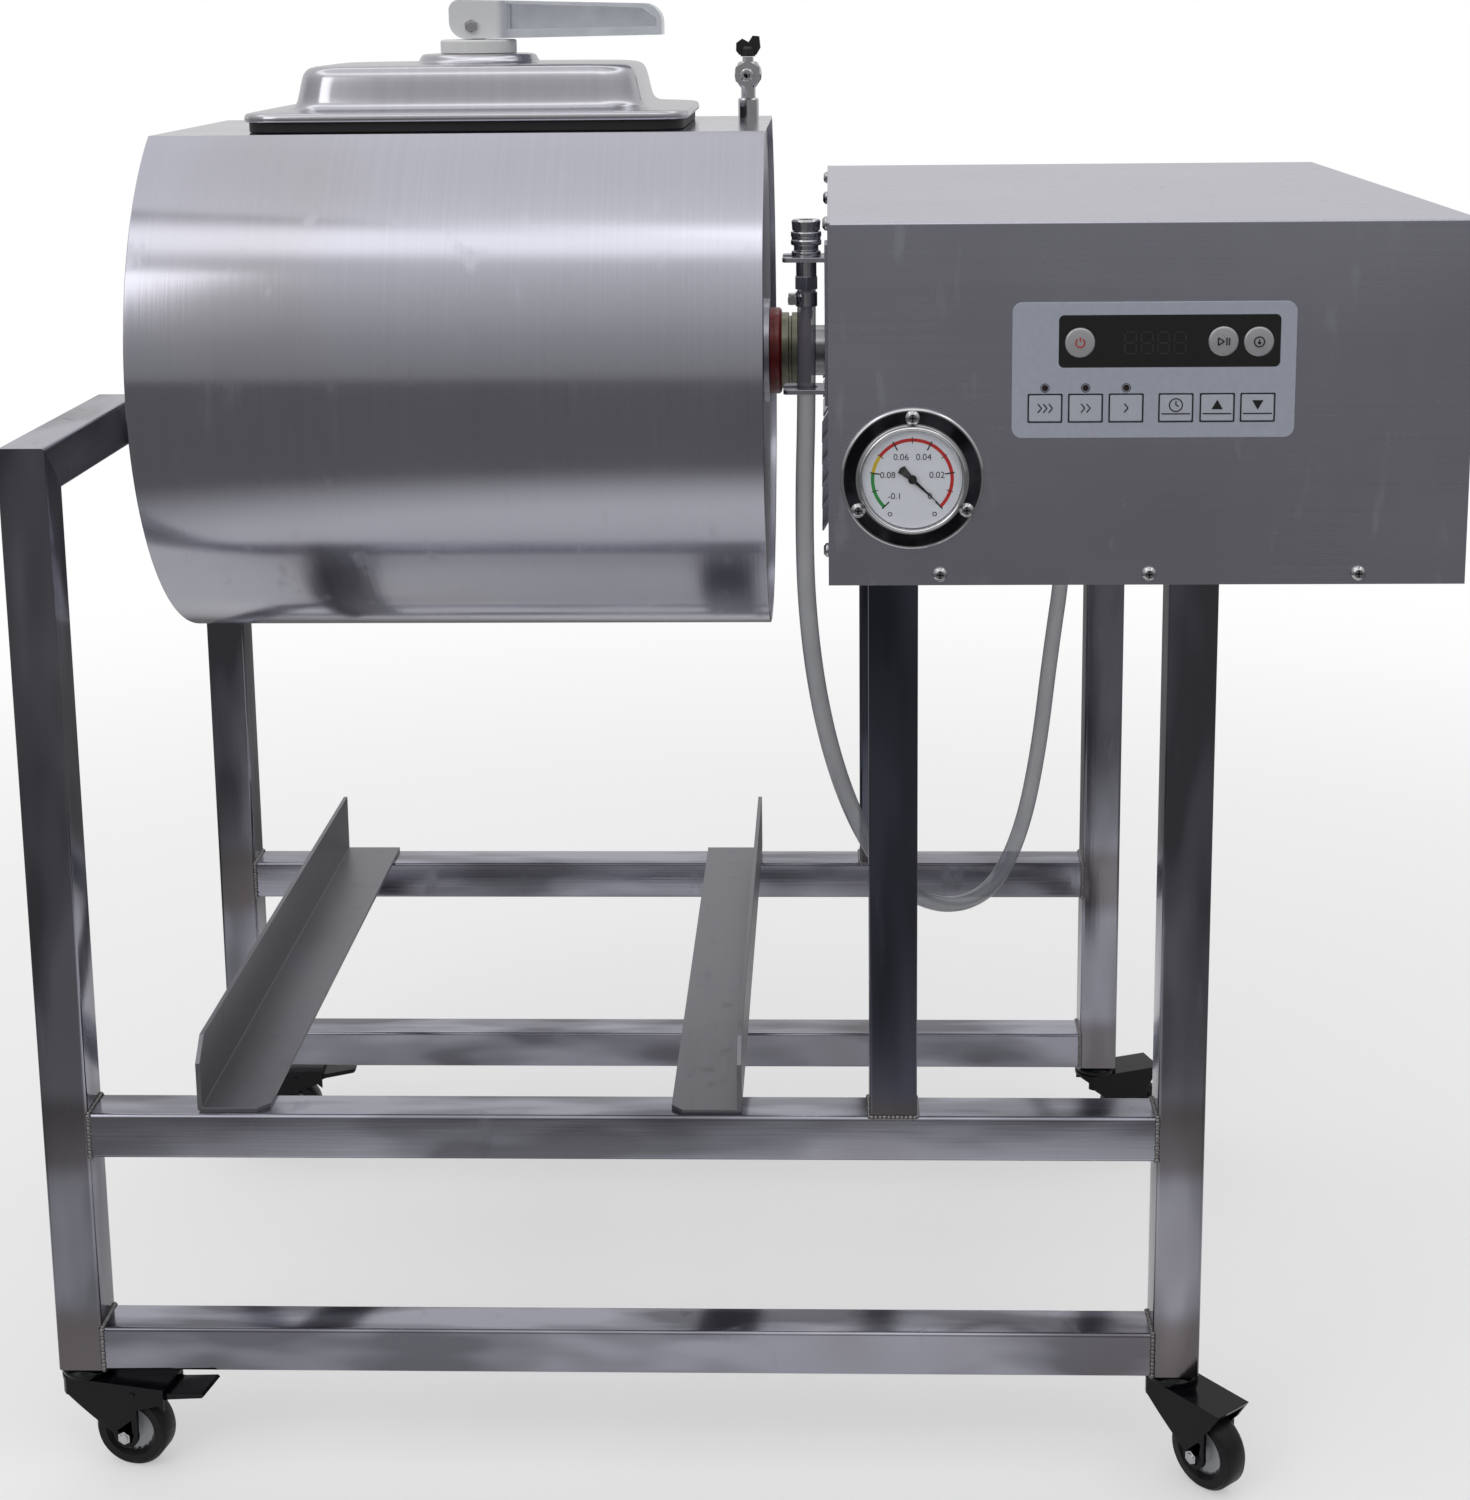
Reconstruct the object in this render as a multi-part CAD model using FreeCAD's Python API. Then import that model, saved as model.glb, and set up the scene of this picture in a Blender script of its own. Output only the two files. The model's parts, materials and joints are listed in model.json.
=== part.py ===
import FreeCAD, Part
import math
import os

V = FreeCAD.Vector
X_AXIS = V(1, 0, 0)
Y_AXIS = V(0, 1, 0)
Z_AXIS = V(0, 0, 1)

# Lengths are millimetres. The layout starts at the front left leg's outer corner at floor level,
# with X along the drum, Y towards the back and Z up. save() then moves the origin to the floor
# under the middle of the machine.

# Welded frame of square stainless tube
TUBE = 30.0
TUBE_WALL = 1.5
TUBE_CORNER = 2.5
FRAME_LENGTH = 738.0
FRAME_DEPTH = 483.0
LEG_BOTTOM = 68.0
ARM_TOP = 677.5
ARM_LENGTH = 204.5
MID_RAIL_TOP = 246.5
MIDDLE_LEG_X = 527.0
END_PLATE = 3.0

# Folded angle rails that the meat tub slides between
TUB_RAIL_SHEET = 3.0
TUB_RAIL_WIDTH = 45.0
TUB_RAIL_HEIGHT = 47.0
TUB_RAIL_LEFT = 99.5
TUB_RAIL_RIGHT = 446.5
TUB_RAIL_FRONT = 4.0
TUB_RAIL_BACK = 482.0

# Drum, its axle line and the flat that carries the mouth
AXIS_Y = FRAME_DEPTH / 2
AXIS_Z = 700.0
DRUM_RADIUS = 188.5
DRUM_SHEET = 2.0
DRUM_FLAT = 157.0
DRUM_LEFT = 65.0
DRUM_RIGHT = 463.0
END_RECESS = 4.0
FLAT_Z = AXIS_Z + DRUM_FLAT
BAFFLE_HEIGHT = 45.0

# Lid in the middle of the flat
LID_X = 266.0
MOUTH_LENGTH = 245.0
MOUTH_WIDTH = 140.0
MOUTH_CORNER = 22.0
MOUTH_COLLAR = 12.0
LID_LENGTH = 293.0
LID_WIDTH = 182.0
LID_SHEET = 1.2
LID_CROWN = 7.0
GASKET_SHOW = 6.5
LID_RIM = 6.5
DOME_HEIGHT = 29.5
DOME_LENGTH = 229.0
DOME_WIDTH = 148.0
DOME_DRAFT = 8.0
BOSS_HEIGHT = 6.2
BOSS_RADIUS = 41.0
RING_HEIGHT = 9.0
RING_RADIUS = 25.8
ROD_RADIUS = 5.0
CAM_HEIGHT = 9.2
CAM_RISE = 6.5
PIVOT_SHIFT = -2.5
BAR_THICK = 6.0
BAR_HALF = 82.0
LEVER_HALF = 14.0
LEVER_END = 392.0
LEVER_TOP = 17.5
CAM_RADIUS = 11.7
BOLT_RADIUS = 3.0

# Heights of the lid's layers above the flat
RIM_BOTTOM = FLAT_Z + GASKET_SHOW
FLANGE_TOP = RIM_BOTTOM + LID_RIM
DOME_TOP = FLANGE_TOP + DOME_HEIGHT
BOSS_TOP = DOME_TOP + BOSS_HEIGHT
RING_BOTTOM = BOSS_TOP + 0.3
RING_TOP = RING_BOTTOM + RING_HEIGHT
PIVOT = V(LID_X + PIVOT_SHIFT, AXIS_Y, RING_TOP + CAM_HEIGHT)
BAR_TOP = FLAT_Z - MOUTH_COLLAR - CAM_RISE - 0.5

# Vacuum valve on the flat, beside the lid
VALVE_BASE = V(447.0, 315.0, FLAT_Z)
VALVE_BODY_Z = 31.0
NIPPLE_RADIUS = 4.5
NIPPLE_LENGTH = 17.0

# Drive coupling and shaft
SHAFT_RADIUS = 15.0
SHAFT_NOSE = 12.5
HUB_LENGTH = 28.0
SHAFT_END = 545.0

# Control and drive box on the right
BOX_LEFT = 503.0
BOX_RIGHT = 880.0
BOX_FRONT = -15.0
BOX_BACK = 480.0
BOX_BOTTOM = 595.0
BOX_TOP = 811.5
BOX_SHEET = 1.5
BASE_SHEET = 2.0
LOUVRE_Z = (612.0, 626.0, 640.0, 654.0, 668.0)
SCREW_HEAD = 4.4
SCREW_SHANK = 2.0

# Vacuum gauge and key panel on the box front
GAUGE_X = 552.7
GAUGE_Z = 660.0
GAUGE_RADIUS = 42.5
DIAL_RADIUS = 29.4
PANEL_LEFT = 611.0
PANEL_RIGHT = 776.3
PANEL_BOTTOM = 684.2
PANEL_TOP = 764.5
PANEL_THICK = 1.4
KEY_GAP = 0.2
KEY_TRAVEL = 0.5

ROUND_KEYS = {"power_key": V(650.4, 0, 740.8), "start_key": V(733.8, 0, 741.2),
              "vacuum_key": V(754.4, 0, 740.9)}
FLAT_KEYS = {"fast_key": 630.4, "medium_key": 654.1, "slow_key": 677.8,
             "time_key": 706.9, "time_up_key": 731.0, "time_down_key": 754.6}
FLAT_KEY_Z = 702.0
ROUND_KEY_RADIUS = 8.7
FLAT_KEY_WIDTH = 18.6
FLAT_KEY_HEIGHT = 15.4
CORNER_ROUND = 6.0

# Where the screws sit
FRONT_SCREWS = [V(x, BOX_FRONT, 601.8) for x in (569.3, 693.4, 816.9)]
PANEL_SCREWS = ([V(BOX_LEFT, y, 804.5) for y in (60.0, 255.0, 450.0)]
                + [V(BOX_LEFT, y, 603.0) for y in (45.0, 415.0)])
GAUGE_SCREWS = [V(GAUGE_X + 37.0 * math.cos(math.radians(a)), BOX_FRONT - 2.5,
                  GAUGE_Z + 37.0 * math.sin(math.radians(a))) for a in (90, 210, 330)]

# Vacuum hose with its quick coupler, which hangs in a bracket on the box's left side
HOSE_RADIUS = 6.0
COUPLER_X = 489.5
COUPLER_Y = 110.0
TAB_TOP = 779.7
HOSE_TOP = 758.6
SLEEVE_TRAVEL = 3.0
HOSE_ROUTE = [
    V(489.5, 110.0, 758.6),
    V(489.4, 109.8, 690.0),
    V(487.0, 106.5, 615.0),
    V(488.5, 108.5, 545.0),
    V(497.0, 121.0, 475.0),
    V(513.0, 146.0, 408.0),
    V(536.0, 179.0, 350.0),
    V(564.0, 221.0, 306.0),
    V(597.0, 270.0, 281.0),
    V(627.0, 315.0, 279.0),
    V(650.0, 349.0, 312.0),
    V(664.0, 371.0, 370.0),
    V(673.0, 384.0, 442.0),
    V(685.0, 402.0, 516.0),
    V(685.0, 402.0, 590.0),
]

# Swivel casters
WHEEL_RADIUS = 25.0
WHEEL_WIDTH = 18.0
TRAIL = 32.0
FORK_TOP = 61.0
FORK_WIDTH = 29.0
FORK_SHEET = 2.5
AXLE_RADIUS = 3.0
PEDAL_PIN = V(TRAIL + 6, 0, 54.5)
PEDAL_PIN_RADIUS = 2.0
RUNNING_GAP = 0.05
CASTERS = {
    "front_left": (V(15.0, 15.0, 0.0), -12.0, True),
    "back_left": (V(15.0, 468.0, 0.0), 4.0, True),
    "front_right": (V(723.0, 15.0, 0.0), -50.0, False),
    "back_right": (V(723.0, 468.0, 0.0), 20.0, False),
}


def block(low, high):
    """A rectangular solid between two corners."""
    return Part.makeBox(high.x - low.x, high.y - low.y, high.z - low.z, low)


def rod(base, axis, radius, length):
    return Part.makeCylinder(radius, length, base, axis)


def turned(profile, base, axis):
    """A lathe-turned solid from (radius, height) points, standing at base along axis."""
    points = [V(r, 0, h) for r, h in profile]
    face = Part.Face(Part.makePolygon(points + points[:1]))
    solid = face.revolve(V(0, 0, 0), Z_AXIS, 360)
    solid.Placement = FreeCAD.Placement(base, FreeCAD.Rotation(Z_AXIS, axis))
    return solid


def hexagon(base, axis, across_flats, height):
    radius = across_flats / math.sqrt(3)
    corners = [V(radius * math.cos(a), radius * math.sin(a), 0)
               for a in (math.radians(60 * k + 30) for k in range(7))]
    solid = Part.Face(Part.makePolygon(corners)).extrude(V(0, 0, height))
    solid.Placement = FreeCAD.Placement(base, FreeCAD.Rotation(Z_AXIS, axis))
    return solid


def plate(points, push):
    """A flat plate: a closed outline of points pushed along a vector."""
    return Part.Face(Part.makePolygon(points + points[:1])).extrude(push)


def edges_along(shape, axis):
    """The straight edges of a shape that run along an axis."""
    found = []
    for edge in shape.Edges:
        straight = isinstance(edge.Curve, (Part.Line, Part.LineSegment))
        if straight and abs(edge.tangentAt(edge.FirstParameter).dot(axis)) > 0.99:
            found.append(edge)
    return found


def rounded_outline(centre, length, width, radius):
    """A level rectangle with rounded corners."""
    edges = []
    corners = ((1, 1), (-1, 1), (-1, -1), (1, -1))
    arcs = []
    for turn, (sx, sy) in enumerate(corners):
        middle = centre + V(sx * (length / 2 - radius), sy * (width / 2 - radius), 0)
        circle = Part.Circle(middle, Z_AXIS, radius)
        start = math.radians(90 * turn)
        arcs.append(Part.ArcOfCircle(circle, start, start + math.pi / 2))
    for turn, arc in enumerate(arcs):
        following = arcs[(turn + 1) % 4]
        edges.append(arc.toShape())
        edges.append(Part.LineSegment(arc.EndPoint, following.StartPoint).toShape())
    return Part.Wire(edges)


def rounded_slab(centre, length, width, radius, height):
    return Part.Face(rounded_outline(centre, length, width, radius)).extrude(V(0, 0, height))


def mirrored_front_to_back(shape):
    return shape.mirror(V(0, AXIS_Y, 0), Y_AXIS)


def square_tube(low, high, axis):
    """A hollow square tube between two corners, open at both ends."""
    outer = block(low, high)
    outer = outer.makeFillet(TUBE_CORNER, edges_along(outer, axis))
    inset = (V(1, 1, 1) - axis) * TUBE_WALL
    return outer.cut(block(low + inset, high - inset))


# Frame

def corner_leg(x, y, top):
    """A leg with a welded end plate that takes the caster's stem."""
    low = V(x, y, LEG_BOTTOM)
    leg = square_tube(low, V(x + TUBE, y + TUBE, top), Z_AXIS)
    inset = V(TUBE_WALL, TUBE_WALL, 0)
    end_plate = block(low + inset, V(x + TUBE, y + TUBE, LEG_BOTTOM + END_PLATE) - inset)
    hole = rod(V(x + TUBE / 2, y + TUBE / 2, LEG_BOTTOM), Z_AXIS, 5.0, END_PLATE)
    return leg.fuse(end_plate).cut(hole).removeSplitter()


def left_legs():
    """Both left legs, mitred at the top for the support arms."""
    leg = corner_leg(0, 0, ARM_TOP)
    cut = plate([V(0, 0, ARM_TOP), V(0, TUBE, ARM_TOP), V(0, TUBE, ARM_TOP - TUBE)],
                V(TUBE, 0, 0))
    leg = leg.cut(cut)
    return [leg, mirrored_front_to_back(leg)]


def support_arms():
    """Short arms that run from the left legs towards each other."""
    arm = square_tube(V(0, 0, ARM_TOP - TUBE), V(TUBE, ARM_LENGTH, ARM_TOP), Y_AXIS)
    cut = plate([V(0, 0, ARM_TOP), V(0, TUBE, ARM_TOP - TUBE), V(0, 0, ARM_TOP - TUBE)],
                V(TUBE, 0, 0))
    arm = arm.cut(cut)
    return [arm, mirrored_front_to_back(arm)]


def right_legs():
    leg = corner_leg(FRAME_LENGTH - TUBE, 0, BOX_BOTTOM)
    return [leg, mirrored_front_to_back(leg)]


def middle_legs():
    leg = square_tube(V(MIDDLE_LEG_X, 0, MID_RAIL_TOP),
                      V(MIDDLE_LEG_X + TUBE, TUBE, BOX_BOTTOM), Z_AXIS)
    return [leg, mirrored_front_to_back(leg)]


def cross_rails():
    """Front and back rails at the bottom and at tub height."""
    rails = []
    for top in (LEG_BOTTOM + TUBE, MID_RAIL_TOP):
        rail = square_tube(V(TUBE, 0, top - TUBE), V(FRAME_LENGTH - TUBE, TUBE, top), X_AXIS)
        rails += [rail, mirrored_front_to_back(rail)]
    return rails


def tub_rail(wall_x, inward):
    """An angle folded from sheet, with its front corners cut off."""
    z = MID_RAIL_TOP
    inner = wall_x + inward * TUB_RAIL_SHEET
    edge = wall_x + inward * TUB_RAIL_WIDTH
    length = V(0, TUB_RAIL_BACK - TUB_RAIL_FRONT, 0)
    angle = plate([V(wall_x, TUB_RAIL_FRONT, z),
                   V(edge, TUB_RAIL_FRONT, z),
                   V(edge, TUB_RAIL_FRONT, z + TUB_RAIL_SHEET),
                   V(inner, TUB_RAIL_FRONT, z + TUB_RAIL_SHEET),
                   V(inner, TUB_RAIL_FRONT, z + TUB_RAIL_HEIGHT),
                   V(wall_x, TUB_RAIL_FRONT, z + TUB_RAIL_HEIGHT)], length)
    fold = [e for e in edges_along(angle, Y_AXIS)
            if abs(e.Vertexes[0].X - wall_x) < 0.1 and abs(e.Vertexes[0].Z - z) < 0.1]
    angle = angle.makeFillet(TUB_RAIL_SHEET, fold)
    top = z + TUB_RAIL_HEIGHT
    wall_cut = plate([V(wall_x, TUB_RAIL_FRONT, top - 14),
                      V(wall_x, TUB_RAIL_FRONT + 14, top),
                      V(wall_x, TUB_RAIL_FRONT, top)], V(inward * TUB_RAIL_SHEET, 0, 0))
    floor_cut = plate([V(edge, TUB_RAIL_FRONT, z),
                       V(edge, TUB_RAIL_FRONT + 7, z),
                       V(edge - inward * 7, TUB_RAIL_FRONT, z)], V(0, 0, TUB_RAIL_SHEET))
    return angle.cut(wall_cut).cut(floor_cut)


def bearing_plate():
    """Upright plate welded to the inner sides of the support arms."""
    half = 62.0
    bottom = ARM_TOP - TUBE
    shoulder = AXIS_Z + 6
    outline = [V(TUBE, AXIS_Y - half, bottom), V(TUBE, AXIS_Y + half, bottom),
               V(TUBE, AXIS_Y + half, ARM_TOP), V(TUBE, AXIS_Y + 34, shoulder + 18),
               V(TUBE, AXIS_Y - 34, shoulder + 18), V(TUBE, AXIS_Y - half, ARM_TOP)]
    body = plate(outline, V(6, 0, 0))
    body = body.makeFillet(10, [e for e in edges_along(body, X_AXIS)
                                if e.Vertexes[0].Z > ARM_TOP + 1])
    axle_hole = rod(V(TUBE, AXIS_Y, AXIS_Z), X_AXIS, 15.0, 6)
    body = body.cut(axle_hole)
    for side in (-1, 1):
        body = body.cut(rod(V(TUBE, AXIS_Y + side * 38.0, AXIS_Z - 9), X_AXIS, 4.2, 6))
    return body


def left_bearing():
    """Oval flange bearing for the drum's left axle, with its two bolts."""
    x = TUBE + 6
    lobes = []
    for side in (-1, 1):
        lobes.append(rod(V(x, AXIS_Y + side * 38.0, AXIS_Z - 9), X_AXIS, 11.0, 7))
    middle = rod(V(x, AXIS_Y, AXIS_Z), X_AXIS, 27.0, 7)
    web = plate([V(x, AXIS_Y - 38.0, AXIS_Z - 20), V(x, AXIS_Y + 38.0, AXIS_Z - 20),
                 V(x, AXIS_Y + 38.0, AXIS_Z + 2), V(x, AXIS_Y + 20.0, AXIS_Z + 18),
                 V(x, AXIS_Y - 20.0, AXIS_Z + 18), V(x, AXIS_Y - 38.0, AXIS_Z + 2)],
                V(7, 0, 0))
    neck = turned([(10 + RUNNING_GAP, 0), (23, 0), (21, 12), (15, 12), (15, 18),
                   (10 + RUNNING_GAP, 18)], V(x, AXIS_Y, AXIS_Z), X_AXIS)
    body = middle.multiFuse(lobes + [web])
    body = body.cut(rod(V(x, AXIS_Y, AXIS_Z), X_AXIS, 16.0, 7)).fuse(neck)
    bolts = []
    for side in (-1, 1):
        hole = V(TUBE, AXIS_Y + side * 38.0, AXIS_Z - 9)
        body = body.cut(rod(hole, X_AXIS, 4.2, 20))
        bolt = hexagon(hole + V(13, 0, 0), X_AXIS, 13.0, 5)
        bolt = bolt.fuse(rod(hole, X_AXIS, 4.0, 13))
        bolts.append(bolt)
    return [body.removeSplitter()] + bolts


# Drum

def drum_section(x, inset, length):
    """The drum's cross-section, a circle with a flat on top, pushed along X."""
    radius = DRUM_RADIUS - inset
    flat = DRUM_FLAT - inset
    half = math.sqrt(radius * radius - flat * flat)
    right = V(x, AXIS_Y + half, AXIS_Z + flat)
    left = V(x, AXIS_Y - half, AXIS_Z + flat)
    bottom = V(x, AXIS_Y, AXIS_Z - radius)
    wire = Part.Wire([Part.Arc(right, bottom, left).toShape(),
                      Part.LineSegment(left, right).toShape()])
    return Part.Face(wire).extrude(V(length, 0, 0))


def drum_shell():
    """Rolled shell with the mouth cut in its flat and a collar turned down inside the mouth."""
    length = DRUM_RIGHT - DRUM_LEFT
    shell = drum_section(DRUM_LEFT, 0, length).cut(drum_section(DRUM_LEFT, DRUM_SHEET, length))
    mouth = V(LID_X, AXIS_Y, FLAT_Z - MOUTH_COLLAR)
    collar = rounded_slab(mouth, MOUTH_LENGTH + 2 * DRUM_SHEET, MOUTH_WIDTH + 2 * DRUM_SHEET,
                          MOUTH_CORNER + DRUM_SHEET, MOUTH_COLLAR)
    opening = rounded_slab(mouth, MOUTH_LENGTH, MOUTH_WIDTH, MOUTH_CORNER, MOUTH_COLLAR)
    port = rod(VALVE_BASE - V(0, 0, DRUM_SHEET), Z_AXIS, 5.0, DRUM_SHEET)
    return shell.fuse(collar).cut(opening).cut(port).removeSplitter()


def drum_left_end():
    """Left end disc with its welded hub and stub axle."""
    disc = drum_section(DRUM_LEFT + END_RECESS, DRUM_SHEET, DRUM_SHEET)
    hub = turned([(0, 0), (10, 0), (10, -26), (9, -27), (0, -27)],
                 V(DRUM_LEFT + END_RECESS, AXIS_Y, AXIS_Z), X_AXIS)
    collar = turned([(0, 0), (30, 0), (30, -3), (16, -8), (0, -8)],
                    V(DRUM_LEFT + END_RECESS, AXIS_Y, AXIS_Z), X_AXIS)
    return disc.multiFuse([hub, collar]).removeSplitter()


def drum_right_end():
    """Right end disc with the boss that the drive hub bolts to."""
    x = DRUM_RIGHT - END_RECESS - DRUM_SHEET
    disc = drum_section(x, DRUM_SHEET, DRUM_SHEET)
    boss = rod(V(x, AXIS_Y, AXIS_Z), X_AXIS, 36.0, DRUM_SHEET + END_RECESS)
    return disc.fuse(boss).removeSplitter()


def drum_baffles():
    """Three lifting fins welded along the inside of the drum."""
    fins = []
    start = DRUM_LEFT + END_RECESS + DRUM_SHEET
    length = DRUM_RIGHT - DRUM_LEFT - 2 * (END_RECESS + DRUM_SHEET)
    outer = DRUM_RADIUS - DRUM_SHEET - 1.0
    inner = outer - BAFFLE_HEIGHT
    for angle in (150, 270, 30):
        away = V(0, math.cos(math.radians(angle)), math.sin(math.radians(angle)))
        along = V(0, -away.z, away.y)
        centre = V(start, AXIS_Y, AXIS_Z)
        root = centre + away * outer
        tip = centre + away * inner
        fin = plate([root + along * 14, root + along * 11, tip, root - along * 11,
                     root - along * 14, tip - away * 3], V(length, 0, 0))
        fins.append(fin)
    return fins


def valve_body():
    """Ball valve on its welded socket, with a plug nipple that faces the front."""
    centre = VALVE_BASE + V(0, 0, VALVE_BODY_Z)
    socket = turned([(3, 0), (7.4, 0), (7.4, 13), (6.6, 14), (3, 14)], VALVE_BASE, Z_AXIS)
    neck = turned([(3, 0), (5.2, 0), (5.2, 8), (7, 10), (3, 10)],
                  VALVE_BASE + V(0, 0, 13.5), Z_AXIS)
    ball = turned([(0, -9.5), (6, -8.5), (9.2, -4), (9.8, 0), (9.2, 4), (6.5, 8.5), (0, 9.5)],
                  centre, Z_AXIS)
    nut = hexagon(centre + V(0, -7, 0), V(0, -1, 0), 17.0, 6)
    nipple = rod(centre + V(0, -13, 0), V(0, -1, 0), NIPPLE_RADIUS, NIPPLE_LENGTH)
    nipple = nipple.makeChamfer(0.8, [nipple.Edges[0]])
    stem = rod(centre + V(0, 0, 8), Z_AXIS, 4.0, 4.0)
    body = socket.multiFuse([neck, ball, nut, nipple, stem])
    drilled = rod(centre, V(0, -1, 0), 2.2, 40)
    down = rod(VALVE_BASE, Z_AXIS, 3.0, VALVE_BODY_Z)
    return body.cut(drilled).cut(down).removeSplitter()


def valve_handle():
    """Wing handle of the ball valve, moulded in black plastic."""
    base = VALVE_BASE + V(0, 0, VALVE_BODY_Z + 12.3)
    hub = turned([(0, 0), (5.2, 0), (5.2, 5), (4, 7), (0, 7)], base, Z_AXIS)
    wing = plate([base + V(-6, -2.2, 1), base + V(6, -2.2, 1), base + V(9, -2.2, 6),
                  base + V(8.2, -2.2, 14), base + V(3.5, -2.2, 14.5), base + V(0.5, -2.2, 10),
                  base + V(-4, -2.2, 12.5), base + V(-8.2, -2.2, 9.5), base + V(-8.4, -2.2, 4)],
                 V(0, 4.4, 0))
    return hub.fuse(wing).removeSplitter()


def drive_hub():
    """Bolted coupling between the drum and the gear motor's shaft."""
    flange = turned([(0, 0), (30, 0), (30, 6.5), (28.5, 8), (0, 8)],
                    V(DRUM_RIGHT, AXIS_Y, AXIS_Z), X_AXIS)
    ring = turned([(0, 0), (26.5, 0), (26.5, 5), (24, 5), (24, 7), (26.5, 7), (26.5, 13), (0, 13)],
                  V(DRUM_RIGHT + 8, AXIS_Y, AXIS_Z), X_AXIS)
    disc = turned([(0, 0), (29, 0), (29, 7), (0, 7)],
                  V(DRUM_RIGHT + 21, AXIS_Y, AXIS_Z), X_AXIS)
    hub = flange.multiFuse([ring, disc])
    hub = hub.cut(rod(V(DRUM_RIGHT, AXIS_Y, AXIS_Z), X_AXIS, SHAFT_NOSE, HUB_LENGTH))
    return hub.cut(shaft_key()).removeSplitter()


def shaft_key():
    return block(V(DRUM_RIGHT, AXIS_Y - 3, AXIS_Z + 9),
                 V(DRUM_RIGHT + HUB_LENGTH, AXIS_Y + 3, AXIS_Z + 15))


def drive_shaft():
    """Keyed output shaft that the hub is pressed on."""
    length = SHAFT_END - DRUM_RIGHT
    shaft = turned([(0, 0), (SHAFT_NOSE, 0), (SHAFT_NOSE, HUB_LENGTH), (17.5, HUB_LENGTH),
                    (17.5, 46), (SHAFT_RADIUS, 46), (SHAFT_RADIUS, length), (0, length)],
                   V(DRUM_RIGHT, AXIS_Y, AXIS_Z), X_AXIS)
    return shaft.fuse(shaft_key()).removeSplitter()


# Lid


def pressed_form(inset):
    """One face of the pressed lid: a flange, a drafted dome and a round boss."""
    centre = V(LID_X, AXIS_Y, 0)
    flange = rounded_slab(centre + V(0, 0, RIM_BOTTOM - inset), LID_LENGTH - 2 * inset,
                          LID_WIDTH - 2 * inset, 24 - inset, LID_RIM)
    top = FLANGE_TOP - inset
    rim = [e for e in flange.Edges if e.BoundBox.ZMin > top - 0.01]
    flange = flange.makeChamfer(1.8, rim)
    dome_top = DOME_TOP - inset
    foot = rounded_outline(centre + V(0, 0, top - 1), DOME_LENGTH - 2 * inset,
                           DOME_WIDTH - 2 * inset, 26 - inset)
    head = rounded_outline(centre + V(0, 0, dome_top), DOME_LENGTH - 2 * (DOME_DRAFT + inset),
                           DOME_WIDTH - 2 * (DOME_DRAFT + inset), 26 - DOME_DRAFT - inset)
    dome = Part.makeLoft([foot, head], True, True)
    crown = [e for e in dome.Edges if e.BoundBox.ZMin > dome_top - 0.01]
    dome = dome.makeFillet(LID_CROWN - inset, crown)
    boss = Part.makeCone(BOSS_RADIUS - inset, BOSS_RADIUS - 2 - inset, BOSS_HEIGHT,
                         centre + V(0, 0, dome_top), Z_AXIS)
    return flange.multiFuse([dome, boss])


def lid_pan():
    pan = pressed_form(0).cut(pressed_form(LID_SHEET))
    return pan.cut(rod(V(LID_X, AXIS_Y, DOME_TOP - 10), Z_AXIS, ROD_RADIUS + 0.1, 30))


def lid_gasket():
    """Rubber seal held in the lid's rim."""
    base = V(LID_X, AXIS_Y, FLAT_Z + 0.2)
    height = GASKET_SHOW - 0.2 + LID_RIM - LID_SHEET
    outer = rounded_slab(base, LID_LENGTH - 6.4, LID_WIDTH - 6.4, 21, height)
    return outer.cut(rounded_slab(base, MOUTH_LENGTH + 10, MOUTH_WIDTH + 10, 20, height))


def lid_knob_ring():
    """White plastic seat that the cam lever bears on."""
    base = V(LID_X, AXIS_Y, RING_BOTTOM)
    return turned([(ROD_RADIUS + RUNNING_GAP, 0), (RING_RADIUS, 0),
                   (RING_RADIUS, RING_HEIGHT - 1), (RING_RADIUS - 1, RING_HEIGHT),
                   (ROD_RADIUS + RUNNING_GAP, RING_HEIGHT)], base, Z_AXIS)


def lid_clamp_rod():
    """Draw rod with an eye for the lever's bolt and a clamp bar welded to its foot."""
    foot = V(LID_X, AXIS_Y, BAR_TOP - 2)
    stem = rod(foot, Z_AXIS, ROD_RADIUS, RING_TOP - foot.z + 2)
    eye = block(V(PIVOT.x - 7, AXIS_Y - 6, RING_TOP + 0.5), V(LID_X + 5, AXIS_Y + 6, PIVOT.z + 7))
    eye = eye.makeFillet(5, [e for e in edges_along(eye, Y_AXIS) if e.Vertexes[0].Z > PIVOT.z])
    bar = block(V(LID_X - BAR_HALF, AXIS_Y - 10, BAR_TOP - BAR_THICK),
                V(LID_X + BAR_HALF, AXIS_Y + 10, BAR_TOP))
    bar = bar.makeFillet(6, edges_along(bar, Z_AXIS))
    body = stem.multiFuse([eye, bar])
    return body.cut(rod(PIVOT - V(0, 7, 0), Y_AXIS, BOLT_RADIUS, 14)).removeSplitter()


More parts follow.
